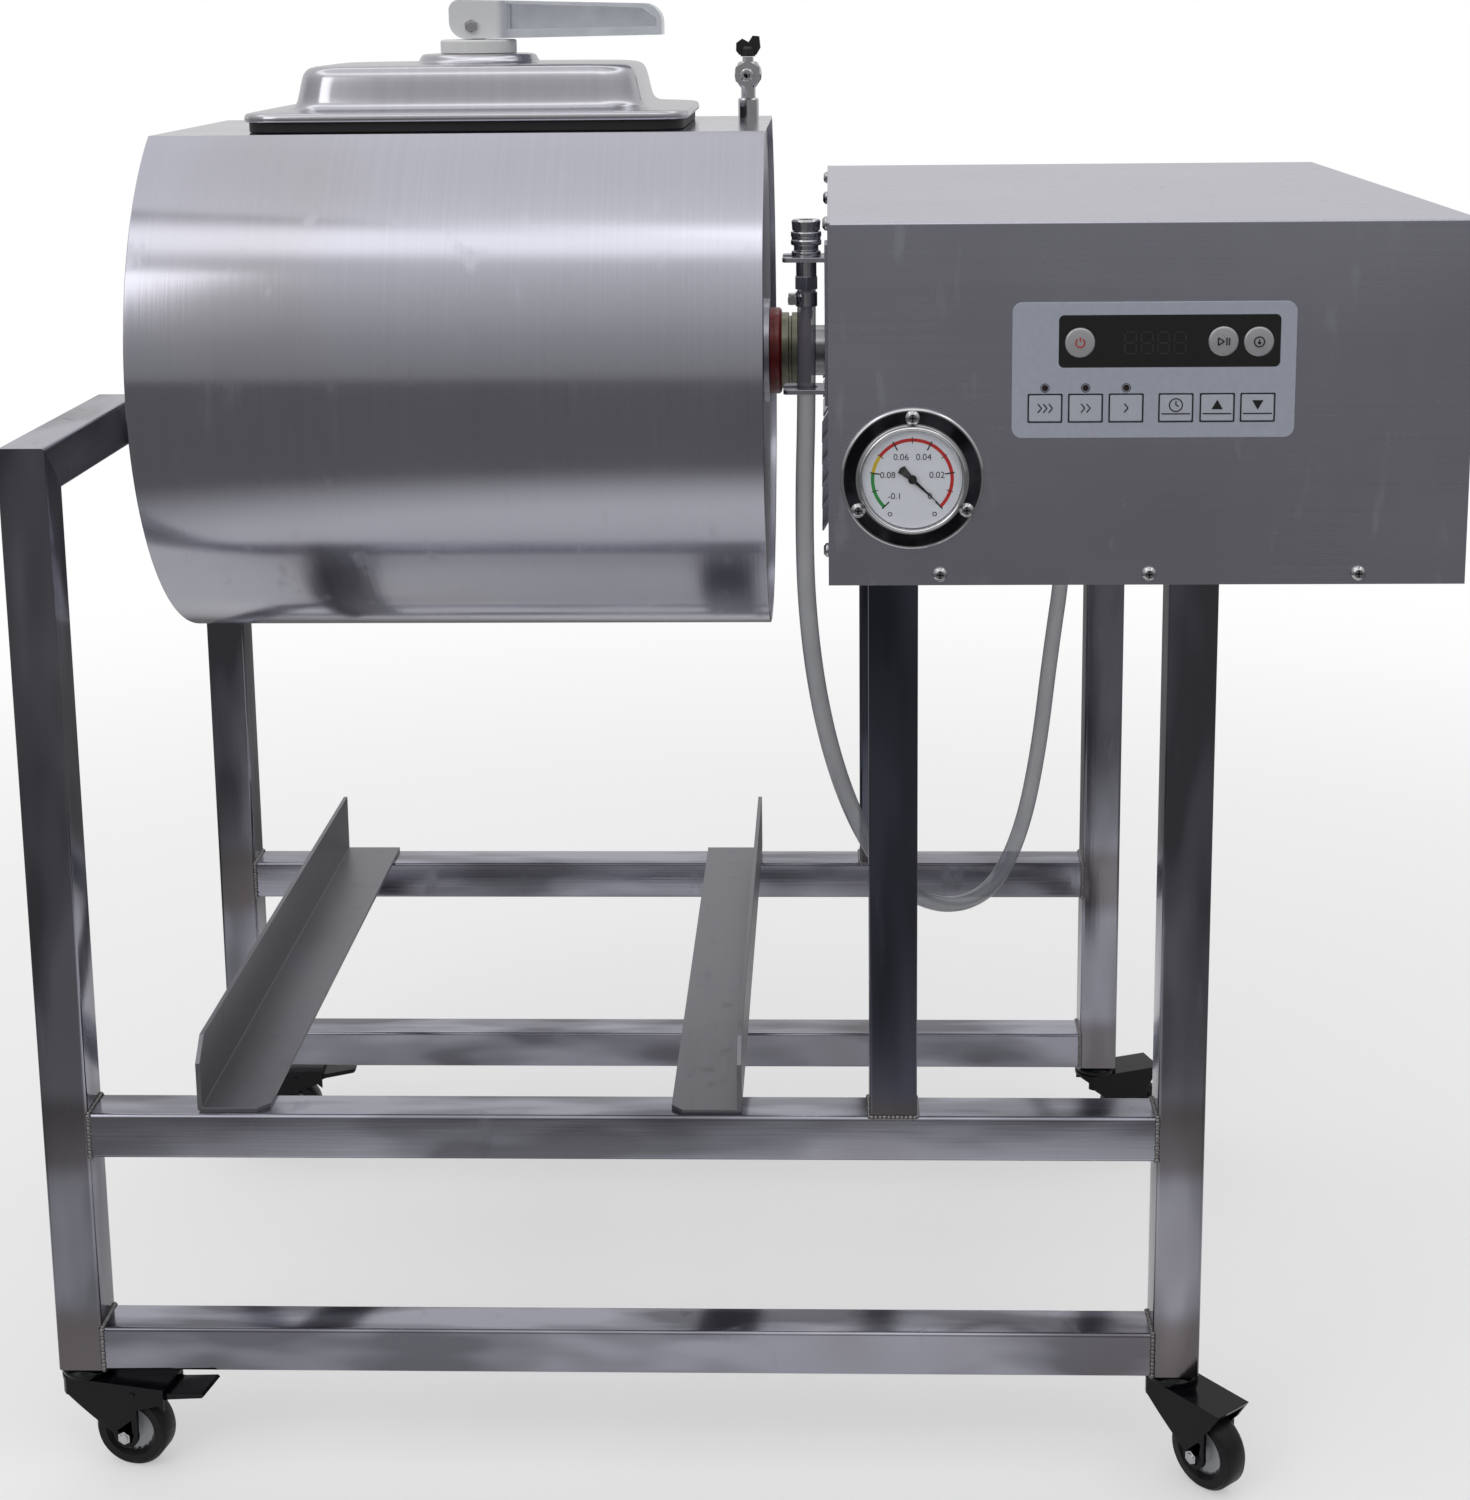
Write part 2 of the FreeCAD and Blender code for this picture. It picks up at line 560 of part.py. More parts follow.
def lever_outline(y):
    """Side view of the cam lever: round cam at the pivot, tapered arm, rounded tip."""
    def at(x, z):
        return V(PIVOT.x + x, y, PIVOT.z + z)

    cam = at(-3.6, 3.0)
    bottom = cam + V(0, 0, -CAM_RADIUS)
    side = cam + V(-CAM_RADIUS, 0, 0)
    between = cam - V(CAM_RADIUS, 0, CAM_RADIUS) * math.sqrt(0.5)
    left = side.x - PIVOT.x
    tip = LEVER_END - PIVOT.x
    edges = [
        Part.Arc(bottom, between, side).toShape(),
        Part.LineSegment(side, at(left, LEVER_TOP - 7)).toShape(),
        Part.Arc(at(left, LEVER_TOP - 7), at(left + 2.2, LEVER_TOP - 2),
                 at(left + 7, LEVER_TOP)).toShape(),
        Part.LineSegment(at(left + 7, LEVER_TOP), at(tip - 13, LEVER_TOP - 3.5)).toShape(),
        Part.Arc(at(tip - 13, LEVER_TOP - 3.5), at(tip - 3.4, LEVER_TOP - 7.6),
                 at(tip, LEVER_TOP - 17)).toShape(),
        Part.LineSegment(at(tip, LEVER_TOP - 17), at(tip, -7.0)).toShape(),
        Part.LineSegment(at(tip, -7.0), at(4.4, -8.6)).toShape(),
        Part.LineSegment(at(4.4, -8.6), bottom).toShape(),
    ]
    return Part.Wire(edges)


def lid_lever():
    """Moulded cam lever with a yoke at the pivot and a thin web between its ribs."""
    front = AXIS_Y - LEVER_HALF
    tip = LEVER_END - PIVOT.x

    def at(x, z):
        return V(PIVOT.x + x, front, PIVOT.z + z)

    lever = Part.Face(lever_outline(front)).extrude(V(0, 2 * LEVER_HALF, 0))
    lever = lever.cut(block(PIVOT - V(18, 6.4, 12), PIVOT + V(17, 6.4, 13)))
    window = plate([at(24, -2.5), at(tip - 4, -1.5), at(tip - 4, 4), at(tip - 14, 11),
                    at(24, 14.5)], V(0, LEVER_HALF - 1.6, 0))
    lever = lever.cut(window).cut(mirrored_front_to_back(window))
    return lever.cut(rod(PIVOT - V(0, 20, 0), Y_AXIS, BOLT_RADIUS + RUNNING_GAP, 40))


def lever_bolt():
    """Hex bolt and nut through the lever and the draw rod's eye."""
    start = PIVOT - V(0, LEVER_HALF + 3.5, 0)
    shank = rod(start, Y_AXIS, BOLT_RADIUS, 2 * LEVER_HALF + 8)
    nut = hexagon(PIVOT - V(0, LEVER_HALF + 0.15, 0), V(0, -1, 0), 8.0, 3)
    head = hexagon(PIVOT + V(0, LEVER_HALF + 0.15, 0), Y_AXIS, 8.0, 4)
    return shank.multiFuse([nut, head]).removeSplitter()


# Box

def pan_head_screws():
    """Cross-recessed pan-head screws of the cover, the left panel and the gauge."""
    profile = [(0, -7), (SCREW_SHANK, -7), (SCREW_SHANK, 0), (SCREW_HEAD, 0),
               (SCREW_HEAD, 1.4), (2.6, 3.0), (0, 3.0)]
    screws = [turned(profile, p, V(0, -1, 0)) for p in FRONT_SCREWS + GAUGE_SCREWS]
    return screws + [turned(profile, p, V(-1, 0, 0)) for p in PANEL_SCREWS]


def screw_holes(shape, places, axis):
    for place in places:
        shape = shape.cut(rod(place - axis * 10, axis, SCREW_SHANK + 0.1, 20))
    return shape


def box_base():
    """Folded tray on the legs that carries the gear motor and the pump."""
    low = V(BOX_LEFT + BOX_SHEET, BOX_FRONT + BOX_SHEET, BOX_BOTTOM)
    high = V(BOX_RIGHT - BOX_SHEET, BOX_BACK - BOX_SHEET, BOX_BOTTOM + 16)
    tray = block(low, high)
    inner = block(low + V(BASE_SHEET, BASE_SHEET, BASE_SHEET), high + V(-BASE_SHEET, -BASE_SHEET, 1))
    tray = tray.cut(inner)
    tray = tray.cut(rod(HOSE_ROUTE[-1] - V(0, 0, 10), Z_AXIS, 5.1, 40))
    tray = screw_holes(tray, FRONT_SCREWS, Y_AXIS)
    return screw_holes(tray, PANEL_SCREWS[3:], X_AXIS)


def box_cover():
    """Top, front, back and right side folded from one brushed sheet."""
    low = V(BOX_LEFT + BOX_SHEET, BOX_FRONT, BOX_BOTTOM)
    high = V(BOX_RIGHT, BOX_BACK, BOX_TOP)
    inner = block(low + V(-1, BOX_SHEET, -1), high - V(BOX_SHEET, BOX_SHEET, BOX_SHEET))
    outer = block(low, high)
    folds = [e for e in edges_along(outer, X_AXIS) if e.Vertexes[0].Z > BOX_TOP - 1]
    cover = outer.makeFillet(1.4, folds).cut(inner)
    flange = block(V(BOX_LEFT + BOX_SHEET, BOX_FRONT + BOX_SHEET, BOX_TOP - 18),
                   V(BOX_LEFT + 2 * BOX_SHEET, BOX_BACK - BOX_SHEET, BOX_TOP - BOX_SHEET))
    cover = cover.fuse(flange)
    cover = cover.cut(rod(V(GAUGE_X, BOX_FRONT - 1, GAUGE_Z), Y_AXIS, 31.0, 4))
    cover = screw_holes(cover, FRONT_SCREWS + GAUGE_SCREWS, Y_AXIS)
    return screw_holes(cover, PANEL_SCREWS[:3], X_AXIS).removeSplitter()


def box_left_panel():
    """Left side sheet with the shaft hole and pressed louvres."""
    panel = block(V(BOX_LEFT, BOX_FRONT, BOX_BOTTOM), V(BOX_LEFT + BOX_SHEET, BOX_BACK, BOX_TOP))
    panel = panel.cut(rod(V(BOX_LEFT, AXIS_Y, AXIS_Z), X_AXIS, 21.0, BOX_SHEET))
    for z in LOUVRE_Z:
        for y in (60.0, 320.0):
            hood = plate([V(BOX_LEFT + 1, y, z + 9), V(BOX_LEFT - 4, y, z + 1),
                          V(BOX_LEFT - 4, y, z), V(BOX_LEFT - 3, y, z), V(BOX_LEFT + 1, y, z + 7)],
                         V(0, 70, 0))
            slot = block(V(BOX_LEFT, y + 1, z), V(BOX_LEFT + BOX_SHEET, y + 69, z + 6))
            panel = panel.cut(slot).fuse(hood)
    return screw_holes(panel, PANEL_SCREWS, X_AXIS).removeSplitter()


def hose_bracket():
    """Parking bracket: an upright plate with two forked tabs."""
    half = 15.0
    tips = COUPLER_X - 15.0
    upright = block(V(BOX_LEFT - 2, COUPLER_Y - half, 685.0), V(BOX_LEFT, COUPLER_Y + half, 788.0))
    tabs = []
    for top, slot in ((TAB_TOP, 6.8), (695.5, 6.6)):
        tab = block(V(tips, COUPLER_Y - half, top - 3), V(BOX_LEFT - 2, COUPLER_Y + half, top))
        corners = [e for e in edges_along(tab, Z_AXIS) if e.Vertexes[0].X < tips + 1]
        tab = tab.makeFillet(3, corners)
        tab = tab.cut(rod(V(COUPLER_X, COUPLER_Y, top - 3), Z_AXIS, slot, 3))
        tab = tab.cut(block(V(tips, COUPLER_Y - slot, top - 3), V(COUPLER_X, COUPLER_Y + slot, top)))
        tabs.append(tab)
    return upright.multiFuse(tabs).removeSplitter()


# Key panel

def panel_overlay():
    """Key panel with a cut-out for each key."""
    panel = block(V(PANEL_LEFT, BOX_FRONT - PANEL_THICK, PANEL_BOTTOM),
                  V(PANEL_RIGHT, BOX_FRONT, PANEL_TOP))
    panel = panel.makeFillet(CORNER_ROUND, edges_along(panel, Y_AXIS))
    for place in ROUND_KEYS.values():
        panel = panel.cut(rod(V(place.x, BOX_FRONT - 5, place.z), Y_AXIS,
                              ROUND_KEY_RADIUS + KEY_GAP, 10))
    for x in FLAT_KEYS.values():
        half = V(FLAT_KEY_WIDTH / 2 + KEY_GAP, 5, FLAT_KEY_HEIGHT / 2 + KEY_GAP)
        middle = V(x, BOX_FRONT, FLAT_KEY_Z)
        panel = panel.cut(block(middle - half, middle + half))
    return panel


def round_key(place):
    """Domed round key."""
    back = KEY_TRAVEL + 0.1
    profile = [(0, back), (ROUND_KEY_RADIUS, back), (ROUND_KEY_RADIUS, PANEL_THICK + 0.3),
               (ROUND_KEY_RADIUS - 1.2, PANEL_THICK + 0.9), (0, PANEL_THICK + 1.4)]
    return turned(profile, V(place.x, BOX_FRONT, place.z), V(0, -1, 0))


def flat_key(x):
    """Flat rectangular key, nearly flush with the panel."""
    half = V(FLAT_KEY_WIDTH / 2, 0, FLAT_KEY_HEIGHT / 2)
    front = V(x, BOX_FRONT - PANEL_THICK - 0.2, FLAT_KEY_Z)
    back = V(x, BOX_FRONT - KEY_TRAVEL - 0.1, FLAT_KEY_Z)
    key = block(front - half, back + half)
    return key.makeFillet(1.0, edges_along(key, Y_AXIS))


# Gauge

def gauge_case():
    """Gauge body with its wide front flange, bezel and threaded stem."""
    profile = [(0, -26), (29.5, -26), (30.5, -25), (30.5, 0), (GAUGE_RADIUS, 0),
               (GAUGE_RADIUS, 1.6), (GAUGE_RADIUS - 1, 2.5), (32.3, 2.5), (32, 6.5), (31, 7.2),
               (DIAL_RADIUS + 0.6, 6.6), (DIAL_RADIUS + 0.6, 0.6), (0, 0.6)]
    case = turned(profile, V(GAUGE_X, BOX_FRONT, GAUGE_Z), V(0, -1, 0))
    case = case.fuse(rod(V(GAUGE_X, BOX_FRONT + 25, GAUGE_Z), Y_AXIS, 5.0, 16))
    case = screw_holes(case, GAUGE_SCREWS, Y_AXIS)
    return case.cut(rod(V(GAUGE_X, BOX_FRONT - 8, GAUGE_Z), Y_AXIS, 1.0, 10))


def gauge_dial():
    return turned([(1.0, 0.7), (DIAL_RADIUS, 0.7), (DIAL_RADIUS, 1.5), (1.0, 1.5)],
                  V(GAUGE_X, BOX_FRONT, GAUGE_Z), V(0, -1, 0))


def gauge_needle():
    """Pointer with a wedge tail, resting at the zero mark at the lower right."""
    centre = V(GAUGE_X, BOX_FRONT - 2.3, GAUGE_Z)
    tip = math.radians(-43)
    along = V(math.cos(tip), 0, math.sin(tip))
    across = V(-along.z, 0, along.x)
    hand = plate([centre + along * 23, centre + across * 1.1, centre - along * 9 + across * 2.8,
                  centre - along * 10, centre - along * 9 - across * 2.8, centre - across * 1.1],
                 V(0, -0.6, 0))
    boss = rod(centre + V(0, 0.4, 0), V(0, -1, 0), 2.6, 1.9)
    pin = rod(centre, Y_AXIS, 0.9, 3.4)
    return hand.multiFuse([boss, pin]).removeSplitter()


def gauge_glass():
    return rod(V(GAUGE_X, BOX_FRONT - 4.8, GAUGE_Z), V(0, -1, 0), DIAL_RADIUS + 0.4, 1.6)


# Inside the box

def gear_motor():
    """Foot-mounted gear motor in line with the drum."""
    gearbox_left = 512.0
    floor = BOX_BOTTOM + BASE_SHEET
    flange = rod(V(gearbox_left, AXIS_Y, AXIS_Z), X_AXIS, 50.0, 8)
    case = rod(V(gearbox_left + 8, AXIS_Y, AXIS_Z), X_AXIS, 58.0, 92)
    motor = rod(V(gearbox_left + 100, AXIS_Y, AXIS_Z), X_AXIS, 55.0, 140)
    fan_cover = turned([(0, 0), (57, 0), (57, 30), (48, 38), (0, 38)],
                       V(gearbox_left + 240, AXIS_Y, AXIS_Z), X_AXIS)
    foot = block(V(gearbox_left + 12, AXIS_Y - 62, floor), V(gearbox_left + 96, AXIS_Y + 62, floor + 12))
    web = block(V(gearbox_left + 22, AXIS_Y - 40, floor), V(gearbox_left + 86, AXIS_Y + 40, AXIS_Z))
    terminal = block(V(gearbox_left + 130, AXIS_Y - 32, AXIS_Z + 45),
                     V(gearbox_left + 200, AXIS_Y + 32, AXIS_Z + 82))
    fins = [rod(V(gearbox_left + x, AXIS_Y, AXIS_Z), X_AXIS, 60.0, 3) for x in range(112, 240, 30)]
    body = case.multiFuse([flange, motor, fan_cover, foot, web, terminal] + fins)
    bore = rod(V(gearbox_left, AXIS_Y, AXIS_Z), X_AXIS, 15 + RUNNING_GAP, SHAFT_END - gearbox_left + 2)
    return body.cut(bore).removeSplitter()


def vacuum_pump():
    """Small twin-head vacuum pump on the tray, behind the gear motor."""
    centre = V(790.0, 405.0, BOX_BOTTOM + BASE_SHEET)
    foot = block(centre + V(-70, -35, 0), centre + V(70, 35, 4))
    barrel = rod(centre + V(-50, 0, 50), X_AXIS, 36.0, 100)
    heads = []
    for side in (-1, 1):
        middle = centre + V(side * 62, 0, 0)
        crank = block(middle + V(-14, -26, 4), middle + V(14, 26, 88))
        cap = block(middle + V(-16, -28, 88), middle + V(16, 28, 104))
        heads += [crank, cap]
    stand = block(centre + V(-45, -20, 4), centre + V(45, 20, 40))
    return barrel.multiFuse([foot, stand] + heads).removeSplitter()


def control_board():
    """Circuit board behind the key panel, with its display and spacers."""
    front = BOX_FRONT + BOX_SHEET
    board = block(V(618, front + 8, 690), V(770, front + 9.6, 759))
    display = block(V(666, front + 2, 731), V(718, front + 8, 750))
    relays = [block(V(x, front + 9.6, 696), V(x + 18, front + 25, 712)) for x in (630, 656, 682)]
    spacers = [rod(V(x, front, z), Y_AXIS, 3.0, 8) for x in (623, 765) for z in (695, 754)]
    return board.multiFuse([display] + relays + spacers).removeSplitter()


# Hose

def hose_barb():
    """Barbed outlet under the box, screwed through the tray."""
    hose_end = HOSE_ROUTE[-1]
    floor = BOX_BOTTOM
    profile = [(2.5, floor + 14 - hose_end.z), (5.0, floor + 14 - hose_end.z), (5.0, 0), (3.4, 0)]
    for ring in range(3):
        top = -1 - 6 * ring
        profile += [(3.4, top), (4.3, top), (3.4, top - 5)]
    profile += [(2.5, -19)]
    stem = turned(profile, hose_end, Z_AXIS)
    nut = hexagon(V(hose_end.x, hose_end.y, hose_end.z), Z_AXIS, 14.0, floor - hose_end.z)
    lock_nut = hexagon(V(hose_end.x, hose_end.y, floor + BASE_SHEET), Z_AXIS, 16.0, 5)
    body = stem.multiFuse([nut, lock_nut])
    return body.cut(rod(hose_end - V(0, 0, 30), Z_AXIS, 2.5, 60)).removeSplitter()


def hose():
    """Vacuum hose: straight runs joined by tangent arcs."""
    points = HOSE_ROUTE
    runs = [(b - a).Length for a, b in zip(points, points[1:])]
    edges = []
    last = points[0]
    length = 0.0
    for i in range(1, len(points) - 1):
        back = (points[i - 1] - points[i]).normalize()
        ahead = (points[i + 1] - points[i]).normalize()
        turn = math.pi - back.getAngle(ahead)
        reach = 0.45 * min(runs[i - 1], runs[i])
        radius = reach / math.tan(turn / 2)
        start = points[i] + back * reach
        end = points[i] + ahead * reach
        to_centre = (back + ahead).normalize() * (radius / math.cos(turn / 2))
        middle = points[i] + to_centre - (to_centre * (radius / to_centre.Length))
        edges.append(Part.LineSegment(last, start).toShape())
        edges.append(Part.Arc(start, middle, end).toShape())
        length += (start - last).Length + radius * turn
        last = end
        print("hose bend", i, "radius", round(radius, 1), "turn", round(math.degrees(turn), 1))
    edges.append(Part.LineSegment(last, points[-1]).toShape())
    length += (points[-1] - last).Length
    path = Part.Wire(edges)
    profile = Part.Wire([Part.Circle(points[0], points[0] - points[1], HOSE_RADIUS).toShape()])
    tube = path.makePipeShell([profile], True, False)
    section = math.pi * HOSE_RADIUS ** 2
    print("hose length", round(length, 1), "volume ratio", round(tube.Volume / (section * length), 4))
    return tube


def coupler_body():
    """Quick coupler socket with its hose stem."""
    base = V(COUPLER_X, COUPLER_Y, TAB_TOP)
    height = HOSE_TOP - TAB_TOP
    profile = [(2.5, height - 19.5), (3.4, height - 19.5)]
    for ring in range(3):
        low = height - 19 + 6 * ring
        profile += [(4.3, low + 5), (3.4, low + 5)]
    profile += [(3.4, height), (6.5, height + 7), (6.5, 0), (9.3, 0), (9.3, 2.6), (7.8, 3.6),
                (7.8, 15.8), (8.8, 16.2), (9.2, 22), (8.2, 23), (NIPPLE_RADIUS + 0.1, 23),
                (NIPPLE_RADIUS + 0.1, 2), (2.5, 2)]
    body = turned(profile, base, Z_AXIS)
    nut = hexagon(V(base.x, base.y, HOSE_TOP), Z_AXIS, 14.0, 8)
    nut = nut.cut(rod(V(base.x, base.y, HOSE_TOP), Z_AXIS, 2.5, 8))
    return body.fuse(nut).removeSplitter()


def coupler_sleeve():
    """Sliding sleeve that frees the plug when it is drawn back."""
    base = V(COUPLER_X, COUPLER_Y, TAB_TOP + 3.6 + SLEEVE_TRAVEL + 0.2)
    bore = 7.8 + RUNNING_GAP
    return turned([(bore, 0), (9.2, 0), (9.7, 0.5), (9.7, 3), (9.2, 3.5), (9.2, 5), (9.7, 5.5),
                   (9.7, 8.2), (9.2, 8.7), (bore, 8.7)], base, Z_AXIS)


def hose_clamp():
    """Worm-drive clamp round the hose on the coupler's stem."""
    base = V(COUPLER_X, COUPLER_Y, HOSE_TOP - 11)
    band = turned([(HOSE_RADIUS + 0.15, 0), (HOSE_RADIUS + 0.9, 0), (HOSE_RADIUS + 0.9, 9),
                   (HOSE_RADIUS + 0.15, 9)], base, Z_AXIS)
    housing = block(base + V(-11.5, -4, 1), base + V(-6.3, 4, 8))
    screw = hexagon(base + V(-9, -4, 4.5), V(0, -1, 0), 5.5, 5)
    return band.multiFuse([housing, screw]).removeSplitter()


# Casters

def on_caster(shape, name):
    """Turn a caster piece, drawn with its trail along X, and put it under its leg."""
    place, angle, _ = CASTERS[name]
    shape = shape.copy()
    shape.rotate(V(0, 0, 0), Z_AXIS, angle)
    shape.translate(place)
    return shape


def caster_stems():
    """Fixed head of each caster: threaded stem, ball-race cup and kingpin."""
    profile = [(0, FORK_TOP - 5), (7.5, FORK_TOP - 5), (7.5, FORK_TOP - 3.2), (4.0, FORK_TOP - 3.2),
               (4.0, FORK_TOP + 0.4), (16.5, FORK_TOP + 0.4), (17, 64.5), (13, LEG_BOTTOM),
               (4.9, LEG_BOTTOM), (4.9, LEG_BOTTOM + 14), (4.2, LEG_BOTTOM + 15),
               (0, LEG_BOTTOM + 15)]
    head = turned(profile, V(0, 0, 0), Z_AXIS)
    return [on_caster(head, name) for name in CASTERS]


def fork_side(half_width, braked):
    """Side view of the pressed fork, from head to axle, pushed across its width."""
    def at(x, z):
        return V(x, -half_width, z)

    hub = at(TRAIL, WHEEL_RADIUS)
    rear = TRAIL + (28 if braked else 20)
    hook = [at(rear, 46), at(rear - 4, 49.5)] if braked else []
    corners = [at(-17, FORK_TOP), at(rear, FORK_TOP)] + hook
    corners += [at(rear - 8, 48), at(TRAIL + 8.5, 44), hub + V(8.5, 0, 2)]
    left = hub + V(-8.5, 0, 1)
    edges = [Part.LineSegment(a, b).toShape() for a, b in zip(corners, corners[1:])]
    edges += [
        Part.Arc(corners[-1], hub + V(0, 0, -8.5), left).toShape(),
        Part.Arc(left, at(10, 35), at(-8, 49)).toShape(),
        Part.Arc(at(-8, 49), at(-15, 52), at(-17, 56)).toShape(),
        Part.LineSegment(at(-17, 56), corners[0]).toShape(),
    ]
    return Part.Face(Part.Wire(edges)).extrude(V(0, 2 * half_width, 0))


def caster_fork(name):
    """Pressed steel fork with its axle bolt and, where it has a brake, the pedal's pin."""
    half = FORK_WIDTH / 2
    braked = CASTERS[name][2]
    fork = fork_side(half, braked)
    space = block(V(-30, -half + FORK_SHEET, -1), V(TRAIL + 40, half - FORK_SHEET, FORK_TOP - 3))
    fork = fork.cut(space)
    head = block(V(-18, -half - 1, 40), V(0, half + 1, FORK_TOP + 1))
    fork = fork.cut(head.cut(rod(V(0, 0, 39), Z_AXIS, 17.0, 30)))
    fork = fork.cut(rod(V(0, 0, 50), Z_AXIS, 4.0 + RUNNING_GAP, 20))
    fork = fork.cut(rod(V(TRAIL, -half, WHEEL_RADIUS), Y_AXIS, AXLE_RADIUS, FORK_WIDTH))
    axle = rod(V(TRAIL, -half - 4, WHEEL_RADIUS), Y_AXIS, AXLE_RADIUS, FORK_WIDTH + 7)
    nut = hexagon(V(TRAIL, -half, WHEEL_RADIUS), V(0, -1, 0), 8.0, 3)
    bolt_head = hexagon(V(TRAIL, half, WHEEL_RADIUS), Y_AXIS, 8.0, 3)
    axle = axle.multiFuse([nut, bolt_head]).removeSplitter()
    if braked:
        pin = rod(PEDAL_PIN - V(0, half + 1, 0), Y_AXIS, PEDAL_PIN_RADIUS, FORK_WIDTH + 2)
        fork = fork.fuse(pin).removeSplitter()
    return [on_caster(fork, name), on_caster(axle, name)]


def caster_wheel(name):
    """Tyre moulded round a plastic core."""
    half = WHEEL_WIDTH / 2
    centre = V(TRAIL, 0, WHEEL_RADIUS)
    tyre = turned([(17.5, -half), (WHEEL_RADIUS - 2.2, -half), (WHEEL_RADIUS, -half + 3),
                   (WHEEL_RADIUS, half - 3), (WHEEL_RADIUS - 2.2, half), (17.5, half)],
                  centre, Y_AXIS)
    bore = AXLE_RADIUS + RUNNING_GAP
    core = turned([(bore, -11), (6.5, -11), (6.5, -4), (14, -4), (17.5, -half), (17.5, half),
                   (14, 4), (6.5, 4), (6.5, 11), (bore, 11)], centre, Y_AXIS)
    return [on_caster(tyre, name), on_caster(core, name)]


def brake_pedal(name):
    """Foot lever whose shoe is pressed on the tread when the lever is trodden down."""
    half = FORK_WIDTH / 2 - FORK_SHEET - 0.4

    def at(x, z):
        return V(TRAIL + x, -half, z)

    outline = [at(1, 57.2), at(1, 53.5), at(5, 51.5), at(12, 49.5), at(17, 45.8), at(21.5, 50),
               at(31, 53.5), at(54, 57.5), at(56, 59.5), at(54.5, 60.8), at(32, 57.4)]
    pedal = plate(outline, V(0, 2 * half, 0))
    pedal = pedal.cut(rod(PEDAL_PIN - V(0, half, 0), Y_AXIS,
                          PEDAL_PIN_RADIUS + RUNNING_GAP, 2 * half))
    return on_caster(pedal, name)


def nodes():
    """Every node of the machine, with its solid or solids."""
    made = {
        "left_legs": left_legs(),
        "right_legs": right_legs(),
        "middle_legs": middle_legs(),
        "cross_rails": cross_rails(),
        "support_arms": support_arms(),
        "tub_rails": [tub_rail(TUB_RAIL_LEFT, 1), tub_rail(TUB_RAIL_RIGHT, -1)],
        "bearing_plate": bearing_plate(),
        "left_bearing": left_bearing(),
        "caster_stems": caster_stems(),
        "drum_shell": drum_shell(),
        "drum_left_end": drum_left_end(),
        "drum_right_end": drum_right_end(),
        "drum_baffles": drum_baffles(),
        "valve_body": valve_body(),
        "valve_handle": valve_handle(),
        "drive_hub": drive_hub(),
        "drive_shaft": drive_shaft(),
        "lid_pan": lid_pan(),
        "lid_gasket": lid_gasket(),
        "lid_knob_ring": lid_knob_ring(),
        "lid_clamp_rod": lid_clamp_rod(),
        "lid_lever": lid_lever(),
        "lever_bolt": lever_bolt(),
        "box_base": box_base(),
        "box_cover": box_cover(),
        "box_left_panel": box_left_panel(),
        "pan_head_screws": pan_head_screws(),
        "hose_bracket": hose_bracket(),
        "panel_overlay": panel_overlay(),
        "gauge_case": gauge_case(),
        "gauge_dial": gauge_dial(),
        "gauge_needle": gauge_needle(),
        "gauge_glass": gauge_glass(),
        "gear_motor": gear_motor(),
        "vacuum_pump": vacuum_pump(),
        "control_board": control_board(),
        "hose_barb": hose_barb(),
        "hose": hose(),
        "coupler_body": coupler_body(),
        "coupler_sleeve": coupler_sleeve(),
        "hose_clamp": hose_clamp(),
    }
    for key, place in ROUND_KEYS.items():
        made[key] = round_key(place)
    for key, x in FLAT_KEYS.items():
        made[key] = flat_key(x)
    for name, (_, _, braked) in CASTERS.items():
        made[name + "_fork"] = caster_fork(name)
        made[name + "_wheel"] = caster_wheel(name)
        if braked:
            made[name + "_brake_pedal"] = brake_pedal(name)
    return made


CORD_NODES = ("hose", "coupler_body", "coupler_sleeve", "hose_clamp")


def save(made):
    """Move the origin under the middle of the machine and write each node."""
    os.makedirs("parts", exist_ok=True)
    shapes = {name: Part.Compound(s) if isinstance(s, list) else s for name, s in made.items()}
    machine = Part.Compound([s for name, s in shapes.items() if name not in CORD_NODES])
    bounds = machine.optimalBoundingBox(False, False)
    shift = V(-bounds.Center.x, -bounds.Center.y, 0)
    print("moved by", [round(c, 3) for c in shift], "floor", round(bounds.ZMin, 3))
    for name, shape in shapes.items():
        shape.translate(shift)
        if not shape.isValid():
            print("not valid:", name)
        shape.exportStep("parts/" + name + ".step")
    print(len(shapes), "nodes")


save(nodes())
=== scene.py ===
import json
import math

import bmesh
import bpy
from mathutils import Matrix, Vector

